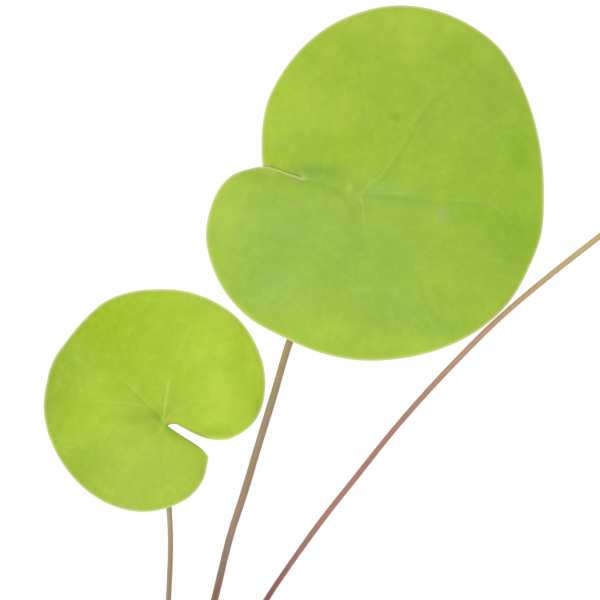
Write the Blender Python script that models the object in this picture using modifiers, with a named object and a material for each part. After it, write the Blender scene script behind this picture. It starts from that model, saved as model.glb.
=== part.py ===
"""Utricularia nelumbifolia, as picked and laid on a flat surface: two round blades, each on its stalk,
a runner, and the stub of stolon that all three grow from.

Metres, +Z up, the surface at z = 0. Seen from above, the stolon is at -Y and the blades' tips are at +Y.
The numbers below are millimetres and degrees; bearings turn anticlockwise from +X.
"""

import math

import bmesh
import bpy
import numpy as np

MM = 0.001
COLLECTION = "utricularia_nelumbifolia"

# Blades
BLADE_THICKNESS = 0.8

# The foot of each blade, where its stalk meets it: place on the surface, and height of the underside
LARGE_FOOT = (7.7, 59.1)
LARGE_FOOT_HEIGHT = 5.4
SMALL_FOOT = (-45.9, -5.0)
SMALL_FOOT_HEIGHT = 3.8

# How a blade bulges between its foot and its rim, and the funnel that sinks into it at the foot
DOME_POWER = 1.7
FUNNEL_DEPTH = 1.0
FUNNEL_RADIUS = 5.0

# Each rim, clockwise from one lobe's tip to the other's: bearing from the foot, distance from the foot,
# and height of the underside. A height below zero is a stretch that the surface presses flat.
LARGE_RIM = (
    (171, 25.4, -0.6),
    (166, 26.8, -0.7),
    (151, 30.5, -0.4),
    (135, 35.7, 0.6),
    (120, 40.4, 1.2),
    (103, 46.4, 0.8),
    (89, 51.0, -0.2),
    (77, 54.3, -1.0),
    (65, 56.3, -1.0),
    (53, 57.2, 0.0),
    (46, 57.2, 0.6),
    (39, 56.2, 1.2),
    (27, 54.3, 1.7),
    (13, 52.9, 1.2),
    (0, 52.4, 0.0),
    (-13, 52.9, -0.9),
    (-22, 52.5, -0.9),
    (-35, 52.3, 0.1),
    (-48, 51.1, 0.7),
    (-62, 49.3, 0.0),
    (-75, 47.7, -0.3),
    (-89, 46.6, 0.9),
    (-103, 45.6, 2.2),
    (-118, 45.1, 2.6),
    (-133, 46.1, 1.4),
    (-149, 45.7, -0.2),
    (-165, 43.8, -0.9),
    (-174, 41.4, -0.4),
    (-183, 38.3, 0.3),
    (-188, 35.7, 0.8),
    (-193, 31.0, 1.1),
    (-196.1, 27.6, 1.2),
    (-197.0, 25.4, 1.2),
)
SMALL_RIM = (
    (-38.8, 15.3, 0.7),
    (-44, 16.2, 0.7),
    (-57, 19.1, 1.0),
    (-72, 21.7, 1.7),
    (-86, 23.4, 2.1),
    (-100, 25.2, 1.6),
    (-118, 27.2, 0.2),
    (-138, 29.1, -0.8),
    (-157, 31.0, -0.4),
    (-174, 33.0, 0.3),
    (-187, 34.5, -0.3),
    (-198, 35.2, -0.8),
    (-208, 36.0, -0.3),
    (-220, 36.0, 0.6),
    (-232, 36.8, 0.6),
    (-243, 37.9, -0.3),
    (-255, 37.9, -0.8),
    (-267, 37.4, -0.4),
    (-278, 37.2, 0.6),
    (-292, 36.5, 1.4),
    (-305, 35.5, 1.2),
    (-317, 33.7, 0.3),
    (-331, 31.4, -0.6),
    (-341, 29.4, -0.8),
    (-352, 26.9, -0.2),
    (-361, 24.2, 0.5),
    (-370, 20.3, 0.9),
    (-375, 17.9, 1.0),
    (-378.4, 15.3, 1.0),
)

# The two edges of each notch, from its inner end to the lobes' tips: distance from the foot and bearing
LARGE_UPPER_EDGE = ((4.8, 183.4), (7.6, 173.2), (10.5, 167.2), (13.5, 166.2), (18, 168.6), (25.4, 171))
LARGE_LEFT_EDGE = (
    (4.8, 183.4),
    (7.6, 176),
    (10.5, 169.4),
    (13.5, 165.8),
    (17, 164.1),
    (20, 163.7),
    (25.4, 163.0),
)
SMALL_LOWER_EDGE = (
    (1.05, -50),
    (2.6, -46),
    (4.6, -41.6),
    (6.7, -38.5),
    (9.5, -36.0),
    (12.4, -36.1),
    (15.3, -38.8),
)
SMALL_RIGHT_EDGE = (
    (1.05, -50),
    (1.4, -14),
    (2.9, -4.5),
    (5.8, -15.0),
    (8.1, -18.8),
    (10.5, -20.2),
    (15.3, -18.4),
)

# Heights by which the two edges of a notch part, the length from the notch's inner end over which they do,
# and how far round the blade the notch is felt, as a share of the rim
LARGE_UPPER_DIP = 0.3
LARGE_LEFT_RISE = 0.2
SMALL_LOWER_RISE = 0.2
SMALL_RIGHT_RISE = 0.3
PARTING_LENGTH = 8.0
EDGE_REACH = 0.16

# Shallow folds along the main veins: bearing at the foot and at the rim, depth, half-width, and the share
# of the blade's radius that the fold runs out to
LARGE_FOLDS = (
    (60, 52, 0.45, 3.2, 0.75),
    (-2, -6, 0.6, 3.4, 0.9),
    (-82, -78, 0.35, 3.0, 0.6),
    (118, 112, 0.3, 3.5, 0.5),
    (196, 200, 0.3, 3.5, 0.6),
)
SMALL_FOLDS = (
    (94, 88, 0.35, 2.4, 0.7),
    (146, 142, 0.45, 2.6, 0.75),
    (200, 206, 0.3, 2.4, 0.6),
    (16, 14, 0.25, 2.4, 0.6),
)

# Distance from the foot at which the folds reach their depth
FOLD_START = 6.0

# Columns run round a blade, closer together at the lobes' tips, and rows run from its foot to its rim
LARGE_COLUMNS, LARGE_ROWS = 72, 13
SMALL_COLUMNS, SMALL_ROWS = 56, 11
COLUMN_CROWDING = 0.06

# Stalks: routes over the surface from the stolon, as x, y and how far the stalk is lifted off the surface,
# with the radius at the stolon and at the far end. Under its blade a stalk turns up into the foot on a
# quarter arc.
LARGE_STALK_ROUTE = (
    (-44.8, -106.6, 0.8),
    (-43.8, -101.6, 0.5),
    (-40.6, -85.0, 0.0),
    (-32.2, -54.6, 0.0),
    (-27.3, -35.0, 0.2),
    (-24.4, -26.2, 0.3),
    (-19.9, -11.2, 0.2),
    (-16.0, 1.4, 0.1),
    (-11.1, 17.9, 0.0),
    (-6.6, 29.6, 0.0),
    (-0.1, 43.6, 0.0),
)
LARGE_STALK_RADII = (0.98, 0.88)
SMALL_STALK_ROUTE = (
    (-49.4, -106.6, 1.0),
    (-49.0, -100.6, 0.6),
    (-46.6, -82.0, 0.0),
    (-45.1, -54.6, 0.1),
    (-44.6, -36.4, 0.0),
    (-45.0, -28.6, 0.0),
    (-45.9, -18.0, 0.0),
)
SMALL_STALK_RADII = (0.74, 0.68)
RUNNER_ROUTE = (
    (-40.4, -106.6, 1.0),
    (-38.2, -101.1, 0.6),
    (-31.5, -82.0, 0.0),
    (-17.7, -54.7, 0.0),
    (-10.2, -43.5, 0.2),
    (-2.1, -32.3, 0.3),
    (6.9, -20.9, 0.3),
    (20.4, -4.2, 0.1),
    (35.9, 12.7, 0.0),
    (45.0, 21.8, 0.0),
    (61.9, 36.4, 0.3),
    (70.5, 43.2, 0.8),
    (79.5, 50.2, 1.4),
)
RUNNER_RADII = (0.8, 0.66)
STALK_POINTS = 28
UPTURN_POINTS = 7
STALK_FLARE = 1.25
FLARE_LENGTH = 3.5

# Space between two pieces that meet
MEETING_GAP = 0.5

# Stolon: a short stub with a swelling where each stalk leaves it
STOLON_ROUTE = ((-55.6, -110.5), (-49.6, -109.7), (-44.8, -109.5), (-40.2, -109.3), (-34.6, -110.1))
STOLON_RADIUS = 1.55
STOLON_SWELLING = 0.35
STOLON_SWELLING_WIDTH = 1.3
STOLON_POINTS = 28

# Resolution of the round sections: 2 gives 8 sides, 3 gives 10
STALK_BEVEL_RESOLUTION = 2
STOLON_BEVEL_RESOLUTION = 3

# Merge distance of the points that meet at a blade's foot and along the closed end of its notch
WELD_DISTANCE = 1e-6
CURVE_STEPS = 16

LEAF_GREEN = (0.34, 0.52, 0.06, 1.0)
YOUNG_GREEN = (0.42, 0.60, 0.05, 1.0)
STALK_OLIVE = (0.35, 0.26, 0.13, 1.0)
RUNNER_RED = (0.36, 0.19, 0.14, 1.0)
STOLON_BROWN = (0.30, 0.20, 0.11, 1.0)
LEAF_ROUGHNESS = 0.5
STALK_ROUGHNESS = 0.55
STOLON_ROUGHNESS = 0.7


def clear_scene():
    """Takes every object out of the scene."""
    for old in list(bpy.data.objects):
        bpy.data.objects.remove(old, do_unlink=True)


def new_collection():
    """The collection that holds the plant's pieces."""
    collection = bpy.data.collections.new(COLLECTION)
    bpy.context.scene.collection.children.link(collection)
    return collection


def plain_material(name, colour, roughness):
    """A non-metallic surface of one colour."""
    material = bpy.data.materials.new(name)
    material.use_nodes = True
    shader = material.node_tree.nodes["Principled BSDF"]
    shader.inputs["Base Color"].default_value = colour
    shader.inputs["Roughness"].default_value = roughness
    shader.inputs["Metallic"].default_value = 0.0
    return material


def smooth_curve(points):
    """A dense smooth line through the points, which may have any number of coordinates.
    Its slope at each point follows the two neighbours, weighed by their distances."""
    points = np.array(points, dtype=float)
    gaps = np.linalg.norm(np.diff(points, axis=0), axis=1)
    knots = np.concatenate([[0.0], np.cumsum(gaps)])
    slopes = np.gradient(points, knots, axis=0)
    pieces = []
    for i, gap in enumerate(gaps):
        t = np.linspace(0.0, 1.0, CURVE_STEPS, endpoint=False)[:, None]
        start = points[i] * (2 * t**3 - 3 * t**2 + 1) + slopes[i] * gap * (t**3 - 2 * t**2 + t)
        end = points[i + 1] * (3 * t**2 - 2 * t**3) + slopes[i + 1] * gap * (t**3 - t**2)
        pieces.append(start + end)
    pieces.append(points[-1:])
    return np.vstack(pieces)


def along(line, shares):
    """The points of a dense line at the given shares of its length."""
    steps = np.linalg.norm(np.diff(line, axis=0), axis=1)
    length = np.concatenate([[0.0], np.cumsum(steps)])
    wanted = np.asarray(shares) * length[-1]
    return np.column_stack([np.interp(wanted, length, column) for column in line.T])


def polar(bearing, distance):
    """The offset at a bearing and a distance."""
    angle = math.radians(bearing)
    return distance * math.cos(angle), distance * math.sin(angle)


def column_shares(columns):
    """Where the columns meet the rim, as shares of its length."""
    even = np.linspace(0.0, 1.0, columns + 1)
    return even - COLUMN_CROWDING * np.sin(2.0 * math.pi * even)


def row_shares(rows, inner_end):
    """Where the rows lie between foot and rim, one of them just at the inner end of the notch."""
    inner_rows = max(1, round(rows * inner_end))
    inner = np.linspace(0.0, inner_end, inner_rows + 1)
    return np.concatenate([inner[:-1], np.linspace(inner_end, 1.0, rows - inner_rows + 1)])


def rim_points(rim, shares):
    """The rim at shares of its length: offset x and y from the foot, and height."""
    line = smooth_curve([(*polar(bearing, distance), height) for bearing, distance, height in rim])
    return along(line, shares)


def straight_bearing(at_foot, at_rim, share):
    """A column's bearing at a share of its length, before it is bent along an edge of the notch."""
    return at_foot + (at_rim - at_foot) * min(share, 1.0)


def fade(share):
    """Falls smoothly from 1 at 0 to 0 at 1 and beyond."""
    share = np.clip(share, 0.0, 1.0)
    return 1.0 - share * share * (3.0 - 2.0 * share)


def fold_depth(folds, x, y, share):
    """How far the folds along the veins lower a point."""
    distance = math.hypot(x, y)
    bearing = math.degrees(math.atan2(y, x))
    start_of_folds = 1.0 - fade(distance / FOLD_START)
    depth = 0.0
    for start, end, deepest, half_width, reach in folds:
        turn = math.radians((bearing - start - (end - start) * share + 180.0) % 360.0 - 180.0)
        aside = distance * math.sin(turn) if abs(turn) < math.pi / 2 else distance
        depth += deepest * math.exp(-((aside / half_width) ** 2)) * fade(share / reach)
    return depth * start_of_folds


def blade_surface(rim, first_edge, last_edge, first_rise, last_rise, folds, foot_height, columns, rows):
    """The underside of a blade as a grid of points about its foot, columns first.
    Columns leave the foot evenly spread over a full turn, and the first and last of them run along the
    two edges of the notch, so that they are one line up to its inner end. Both edges are equally long."""
    shares_round = column_shares(columns)
    shares_out = row_shares(rows, first_edge[0][0] / first_edge[-1][0])
    outline = rim_points(rim, shares_round)
    at_rim = np.degrees(np.unwrap(np.arctan2(outline[:, 1], outline[:, 0])))
    at_rim += round((first_edge[-1][1] - at_rim[0]) / 360.0) * 360.0
    at_foot = first_edge[0][1] - np.linspace(0.0, 360.0, columns + 1)
    first_edge = smooth_curve(first_edge)
    last_edge = smooth_curve(last_edge) - [0.0, 360.0]
    closed_height = (outline[0, 2] + outline[-1, 2]) / 2.0
    grid = np.zeros((columns + 1, rows + 1, 3))
    for i, (rim_x, rim_y, rim_height) in enumerate(outline):
        first_weight = fade(shares_round[i] / EDGE_REACH)
        last_weight = fade((1.0 - shares_round[i]) / EDGE_REACH)
        for j, share in enumerate(shares_out):
            distance = share * math.hypot(rim_x, rim_y)
            bearing = straight_bearing(at_foot[i], at_rim[i], share)
            for edge, side, weight in ((first_edge, 0, first_weight), (last_edge, -1, last_weight)):
                straight = straight_bearing(at_foot[side], at_rim[side], distance / edge[-1, 0])
                bearing += weight * (np.interp(distance, *edge.T) - straight)
            x, y = polar(bearing, distance)
            closed = fade((distance - first_edge[0, 0]) / PARTING_LENGTH)
            meeting = closed * (first_weight + last_weight)
            low = rim_height + meeting * (closed_height - rim_height)
            height = low + (foot_height + FUNNEL_DEPTH - low) * (1.0 - share**DOME_POWER)
            height -= FUNNEL_DEPTH * math.exp(-((distance / FUNNEL_RADIUS) ** 2))
            height += (1.0 - closed) * (first_weight * first_rise + last_weight * last_rise)
            height -= fold_depth(folds, x, y, share)
            grid[i, j] = x, y, max(height, 0.0)
    return grid


def blade(name, foot, surface, material, collection):
    """A blade from the grid of its underside, thickened upwards."""
    columns, rows = surface.shape[0] - 1, surface.shape[1] - 1
    grid = bmesh.new()
    bmesh.ops.create_grid(grid, x_segments=columns, y_segments=rows, size=0.5)
    for point in grid.verts:
        i = round((point.co.x + 0.5) * columns)
        j = round((point.co.y + 0.5) * rows)
        point.co = [value * MM for value in surface[i, j]]
    bmesh.ops.remove_doubles(grid, verts=grid.verts, dist=WELD_DISTANCE)
    mesh = bpy.data.meshes.new(name)
    grid.to_mesh(mesh)
    grid.free()
    mesh.shade_smooth()
    mesh.materials.append(material)
    piece = bpy.data.objects.new(name, mesh)
    piece.location = (foot[0] * MM, foot[1] * MM, 0.0)
    thickness = piece.modifiers.new("thickness", "SOLIDIFY")
    thickness.thickness = BLADE_THICKNESS * MM
    thickness.offset = 1.0
    thickness.use_even_offset = True
    collection.objects.link(piece)
    return piece


def round_piece(name, line, radii, bevel_resolution, material, collection):
    """A round-sectioned piece along a line of points, with a radius for each of them."""
    curve = bpy.data.curves.new(name, "CURVE")
    curve.dimensions = "3D"
    curve.bevel_depth = MM
    curve.bevel_resolution = bevel_resolution
    curve.use_fill_caps = True
    spline = curve.splines.new("POLY")
    spline.points.add(len(line) - 1)
    for point, place, radius in zip(spline.points, line, radii):
        point.co = (*(value * MM for value in place), 1.0)
        point.radius = radius
    curve.materials.append(material)
    piece = bpy.data.objects.new(name, curve)
    collection.objects.link(piece)
    return piece


def upturn(start, foot, rise):
    """The quarter arc on which a stalk turns up into its blade's foot, to the height of rise."""
    heading = np.subtract(foot, start[:2])
    heading /= np.linalg.norm(heading)
    angles = np.linspace(0.0, math.pi / 2, UPTURN_POINTS)
    short_of_foot = rise * (1.0 - np.sin(angles))
    return np.column_stack([foot - short_of_foot[:, None] * heading, rise * (1.0 - np.cos(angles))])


def stalk(name, route, end_radii, material, collection, foot=None, foot_height=0.0):
    """A stalk that lies along the surface and flares at its ends. With a foot, it turns up into it."""
    if foot:
        arc = upturn(route[-1], foot, foot_height - MEETING_GAP - end_radii[1])
        flat = along(smooth_curve([*route, arc[0]]), np.linspace(0.0, 1.0, STALK_POINTS))
        line = np.vstack([flat, arc[1:]])
    else:
        line = along(smooth_curve(route), np.linspace(0.0, 1.0, STALK_POINTS + UPTURN_POINTS - 1))
    steps = np.linalg.norm(np.diff(line, axis=0), axis=1)
    length = np.concatenate([[0.0], np.cumsum(steps)])
    radii = end_radii[0] + (end_radii[1] - end_radii[0]) * length / length[-1]
    line[:, 2] += radii
    radii *= 1.0 + (STALK_FLARE - 1.0) * fade(np.minimum(length, length[-1] - length) / FLARE_LENGTH)
    line[:, 2] = np.maximum(line[:, 2], radii)
    return round_piece(name, line, radii, STALK_BEVEL_RESOLUTION, material, collection)


def stolon(material, collection):
    """The stub that the stalks grow from, swollen at each of their feet."""
    line = along(smooth_curve(STOLON_ROUTE), np.linspace(0.0, 1.0, STOLON_POINTS))
    radii = np.full(STOLON_POINTS, STOLON_RADIUS)
    for route in (LARGE_STALK_ROUTE, SMALL_STALK_ROUTE, RUNNER_ROUTE):
        aside = (line[:, 0] - route[0][0]) / STOLON_SWELLING_WIDTH
        radii += STOLON_SWELLING * np.exp(-(aside**2))
    line = np.column_stack([line, radii])
    return round_piece("stolon", line, radii, STOLON_BEVEL_RESOLUTION, material, collection)


def large_blade(material, collection):
    """The large blade, whose left lobe lies over its upper lobe."""
    surface = blade_surface(
        LARGE_RIM,
        LARGE_UPPER_EDGE,
        LARGE_LEFT_EDGE,
        -LARGE_UPPER_DIP,
        LARGE_LEFT_RISE,
        LARGE_FOLDS,
        LARGE_FOOT_HEIGHT,
        LARGE_COLUMNS,
        LARGE_ROWS,
    )
    return blade("large_leaf_blade", LARGE_FOOT, surface, material, collection)


def small_blade(material, collection):
    """The small blade, with its notch open."""
    surface = blade_surface(
        SMALL_RIM,
        SMALL_LOWER_EDGE,
        SMALL_RIGHT_EDGE,
        SMALL_LOWER_RISE,
        SMALL_RIGHT_RISE,
        SMALL_FOLDS,
        SMALL_FOOT_HEIGHT,
        SMALL_COLUMNS,
        SMALL_ROWS,
    )
    return blade("small_leaf_blade", SMALL_FOOT, surface, material, collection)


def large_stalk(material, collection):
    """The stalk of the large blade."""
    return stalk(
        "large_leaf_stalk",
        LARGE_STALK_ROUTE,
        LARGE_STALK_RADII,
        material,
        collection,
        LARGE_FOOT,
        LARGE_FOOT_HEIGHT,
    )


def small_stalk(material, collection):
    """The stalk of the small blade."""
    return stalk(
        "small_leaf_stalk",
        SMALL_STALK_ROUTE,
        SMALL_STALK_RADII,
        material,
        collection,
        SMALL_FOOT,
        SMALL_FOOT_HEIGHT,
    )


def main():
    clear_scene()
    collection = new_collection()
    leaf_green = plain_material("leaf_green", LEAF_GREEN, LEAF_ROUGHNESS)
    young_green = plain_material("young_leaf_green", YOUNG_GREEN, LEAF_ROUGHNESS)
    stalk_olive = plain_material("stalk_olive", STALK_OLIVE, STALK_ROUGHNESS)
    runner_red = plain_material("runner_red", RUNNER_RED, STALK_ROUGHNESS)
    stolon_brown = plain_material("stolon_brown", STOLON_BROWN, STOLON_ROUGHNESS)
    large_blade(leaf_green, collection)
    small_blade(young_green, collection)
    large_stalk(stalk_olive, collection)
    small_stalk(stalk_olive, collection)
    stalk("runner", RUNNER_ROUTE, RUNNER_RADII, runner_red, collection)
    stolon(stolon_brown, collection)


main()
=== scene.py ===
# %% [markdown]
# # A picked plant with two round leaves
# The plant lies flat on a pale surface: two round, notched blades, each on its own stalk, a long bare
# runner, and the short piece of stolon that all three grow from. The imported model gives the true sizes.
# This lesson dresses it: each cell makes one thing, says what it is on the real plant, and prints what
# came out.

import math

import bmesh
import bpy
import numpy as np
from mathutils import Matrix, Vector, noise


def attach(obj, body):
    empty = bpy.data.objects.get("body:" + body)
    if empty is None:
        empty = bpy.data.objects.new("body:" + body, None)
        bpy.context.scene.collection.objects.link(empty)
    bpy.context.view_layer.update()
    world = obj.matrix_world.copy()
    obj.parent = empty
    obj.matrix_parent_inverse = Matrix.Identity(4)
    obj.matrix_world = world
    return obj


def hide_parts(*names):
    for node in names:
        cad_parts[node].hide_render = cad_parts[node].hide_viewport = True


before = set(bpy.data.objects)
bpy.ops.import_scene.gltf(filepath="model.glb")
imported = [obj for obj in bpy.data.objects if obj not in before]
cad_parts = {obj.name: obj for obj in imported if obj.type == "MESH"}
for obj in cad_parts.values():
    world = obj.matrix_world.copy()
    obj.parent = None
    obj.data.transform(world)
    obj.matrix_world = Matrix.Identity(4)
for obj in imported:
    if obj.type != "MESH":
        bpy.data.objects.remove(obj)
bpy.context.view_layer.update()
MM = 0.001
print("solids:", sorted(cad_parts))

# %% [markdown]
# ## Smooth lines
# A leaf's rim, a vein and a stalk are all smooth lines through a few measured points. A cubic piece between
# each two points, with a slope that follows both neighbours, passes through all of them without kinks. The
# same line can then be walked at even steps, which is what a mesh needs.

# %% Lines through a few points
LINE_STEPS = 16


def smooth_line(points):
    """A dense smooth line through the points, which may have any number of coordinates."""
    points = np.array(points, dtype=float)
    gaps = np.linalg.norm(np.diff(points, axis=0), axis=1)
    slopes = np.gradient(points, np.concatenate([[0.0], np.cumsum(gaps)]), axis=0)
    pieces = []
    for i, gap in enumerate(gaps):
        t = np.linspace(0.0, 1.0, LINE_STEPS, endpoint=False)[:, None]
        start = points[i] * (2 * t**3 - 3 * t**2 + 1) + slopes[i] * gap * (t**3 - 2 * t**2 + t)
        end = points[i + 1] * (3 * t**2 - 2 * t**3) + slopes[i + 1] * gap * (t**3 - t**2)
        pieces.append(start + end)
    return np.vstack([*pieces, points[-1:]])


def lengths(line):
    """How far along the line each of its points is."""
    return np.concatenate([[0.0], np.cumsum(np.linalg.norm(np.diff(line, axis=0), axis=1))])


def walk(line, shares):
    """The points at the given shares of the line's length."""
    length = lengths(line)
    wanted = np.asarray(shares) * length[-1]
    return np.column_stack([np.interp(wanted, length, column) for column in line.T])


def fade(share):
    """Falls smoothly from 1 at 0 to 0 at 1 and beyond."""
    share = np.clip(share, 0.0, 1.0)
    return 1.0 - share * share * (3.0 - 2.0 * share)


def bell(aside):
    """1 at 0, falling off smoothly on both sides."""
    return np.exp(-(aside**2))


def compass(bearings, distances):
    """Offsets x and y at bearings in degrees, anticlockwise from +X."""
    angles = np.radians(bearings)
    return np.stack([distances * np.cos(angles), distances * np.sin(angles)], axis=-1)


print("a smooth line through 3 points has", len(smooth_line([(0, 0), (1, 1), (2, 0)])), "points")

# %% [markdown]
# ## The two blades, as measured
# Each blade is described from its foot, the spot where the stalk meets it: how far the rim is at each
# bearing, and how high it is off the surface. Below zero means that the surface presses it flat. The notch
# has two edges of its own, given as distance and bearing, and shallow folds follow the main veins. All of
# it is in millimetres and degrees, and follows the solids closely, so that the fine mesh lies where they do.
#
# The other values belong to the edge. They say how fast the notch's two sides part and how far each rises,
# where the pale margin glows, partly with painted light through the thin edge, where a lobe's lip carries a
# painted highlight, where painted shade lies along one edge of the notch and a darker olive band along the
# other, and how warm or dull the rim is by bearing. The widths of the painted shade beside the veins and the
# fineness of the grid come last.

# %% Rims, notches and folds
LARGE_LEAF = {
    "name": "large_leaf",
    "foot": (7.7, 59.1),
    "foot_height": 5.4,
    "rim": (
        (171, 25.4, -0.6), (166, 26.8, -0.7), (151, 30.5, -0.4), (135, 35.7, 0.6), (120, 40.4, 1.2),
        (103, 46.4, 0.8), (89, 51.0, -0.2), (77, 54.3, -1.0), (65, 56.3, -1.0), (53, 57.2, 0.0),
        (46, 57.2, 0.6), (39, 56.2, 1.2), (27, 54.3, 1.7), (13, 52.9, 1.2), (0, 52.4, 0.0),
        (-13, 52.9, -0.9), (-22, 52.5, -0.9), (-35, 52.3, 0.1), (-48, 51.1, 0.7), (-62, 49.3, 0.0),
        (-75, 47.7, -0.3), (-89, 46.6, 0.9), (-103, 45.6, 2.2), (-118, 45.1, 2.6), (-133, 46.1, 1.4),
        (-149, 45.7, -0.2), (-165, 43.8, -0.9), (-174, 41.4, -0.4), (-183, 38.3, 0.2), (-188, 35.7, 0.4),
        (-193, 31.0, 0.5), (-196.1, 27.6, 0.6), (-197.0, 25.4, 0.6),
    ),
    "first_edge": (
        (15.0, 164.6), (15.5, 164.4), (16.0, 164.35), (16.4, 164.45), (17.0, 165.4), (18.2, 168.4),
        (25.4, 171),
    ),
    "last_edge": (
        (15.0, 164.6), (15.5, 164.6), (16.0, 164.6), (16.4, 164.4), (17.5, 163.9), (20, 163.8), (22, 163.2),
        (25.4, 163.0),
    ),
    "first_rise": -0.35,
    "last_rise": 0.2,
    "parting": 3.0,
    # these say where the pale margin, partly painted light, shows, where the lobe's lip carries a painted
    # highlight, and where painted shade runs along the notch's edge
    "edge_glow": ((15.0, 0.2), (15.7, 1.0), (25.4, 1.0)),
    "lip": ((15.0, 0.0), (15.7, 0.8), (16.6, 1.0), (26.5, 1.0), (29.0, 0.0)),
    "dusk": ((15.0, 0.0), (25.4, 0.0)),
    "folds": (
        (60, 52, 0.45, 3.2, 0.75),
        (-2, -6, 0.6, 3.4, 0.9),
        (-82, -78, 0.35, 3.0, 0.6),
        (118, 112, 0.3, 3.5, 0.5),
        (196, 200, 0.3, 3.5, 0.6),
    ),
    "rim_tint": ((-150, 0.7), (-105, 0.6), (-60, 0.5), (0, 0.7), (40, 1.0), (90, 0.9), (130, 0.5),
                 (180, 0.9)),
    "shade_widths": {1: 3.1, 2: 1.8, 5: 2.1},
    "columns": 380,
    "rows": 118,
}
SMALL_LEAF = {
    "name": "small_leaf",
    "foot": (-45.9, -5.0),
    "foot_height": 3.8,
    "rim": (
        (-38.8, 15.3, 0.7), (-44, 16.2, 0.7), (-57, 19.1, 1.0), (-72, 21.7, 1.7), (-86, 23.4, 2.1),
        (-100, 25.2, 1.6), (-118, 27.2, 0.2), (-138, 29.1, -0.8), (-157, 31.0, -0.4), (-174, 33.0, 0.3),
        (-187, 34.5, -0.3), (-198, 35.2, -0.8), (-208, 36.0, -0.3), (-220, 36.0, 0.6), (-232, 36.8, 0.6),
        (-243, 37.9, -0.3), (-255, 37.9, -0.8), (-267, 37.4, -0.4), (-278, 37.2, 0.6), (-292, 36.5, 1.4),
        (-305, 35.5, 1.2), (-317, 33.7, 0.3), (-331, 31.4, -0.6), (-341, 29.4, -0.8), (-352, 26.9, -0.2),
        (-361, 24.2, 0.5), (-370, 20.3, 0.9), (-375, 17.9, 1.0), (-378.4, 15.3, 1.0),
    ),
    "first_edge": (
        (0.9, -50), (1.6, -46.5), (2.6, -43), (5.1, -39), (7.0, -37.2), (9.5, -35.9), (12.4, -36.1),
        (15.3, -38.8),
    ),
    "last_edge": (
        (0.9, -50), (1.15, -28), (1.5, -13), (2.0, -6), (2.9, -4.5), (4.1, -9.9), (5.8, -15.0),
        (8.1, -18.8), (10.5, -20.2), (12.8, -20.0), (15.3, -18.4),
    ),
    "first_rise": 0.2,
    "last_rise": 0.3,
    "parting": 8.0,
    # these say where the pale margin, partly painted light, shows, where the lobe's lip carries a painted
    # highlight, and where painted shade runs along the notch's edge
    "edge_glow": ((0.9, 0.35), (14.0, 0.6), (16.0, 1.0)),
    "lip": ((0.9, 0.35), (8.0, 0.2), (13.0, 0.0)),
    "dusk": ((0.9, 1.0), (11.0, 1.0), (14.0, 0.0)),
    "rim_tint": ((-150, -0.9), (-105, -1.0), (-60, -0.6), (-20, 0.6), (30, 0.8), (90, 0.2), (125, -0.4),
                 (180, -0.8)),
    "folds": (
        (94, 88, 0.35, 2.4, 0.7),
        (146, 142, 0.45, 2.6, 0.75),
        (200, 206, 0.3, 2.4, 0.6),
        (16, 14, 0.25, 2.4, 0.6),
    ),
    "shade_widths": {0: 1.9, 1: 2.2},
    "columns": 300,
    "rows": 92,
}
print("rim points:", len(LARGE_LEAF["rim"]), "and", len(SMALL_LEAF["rim"]))
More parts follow.
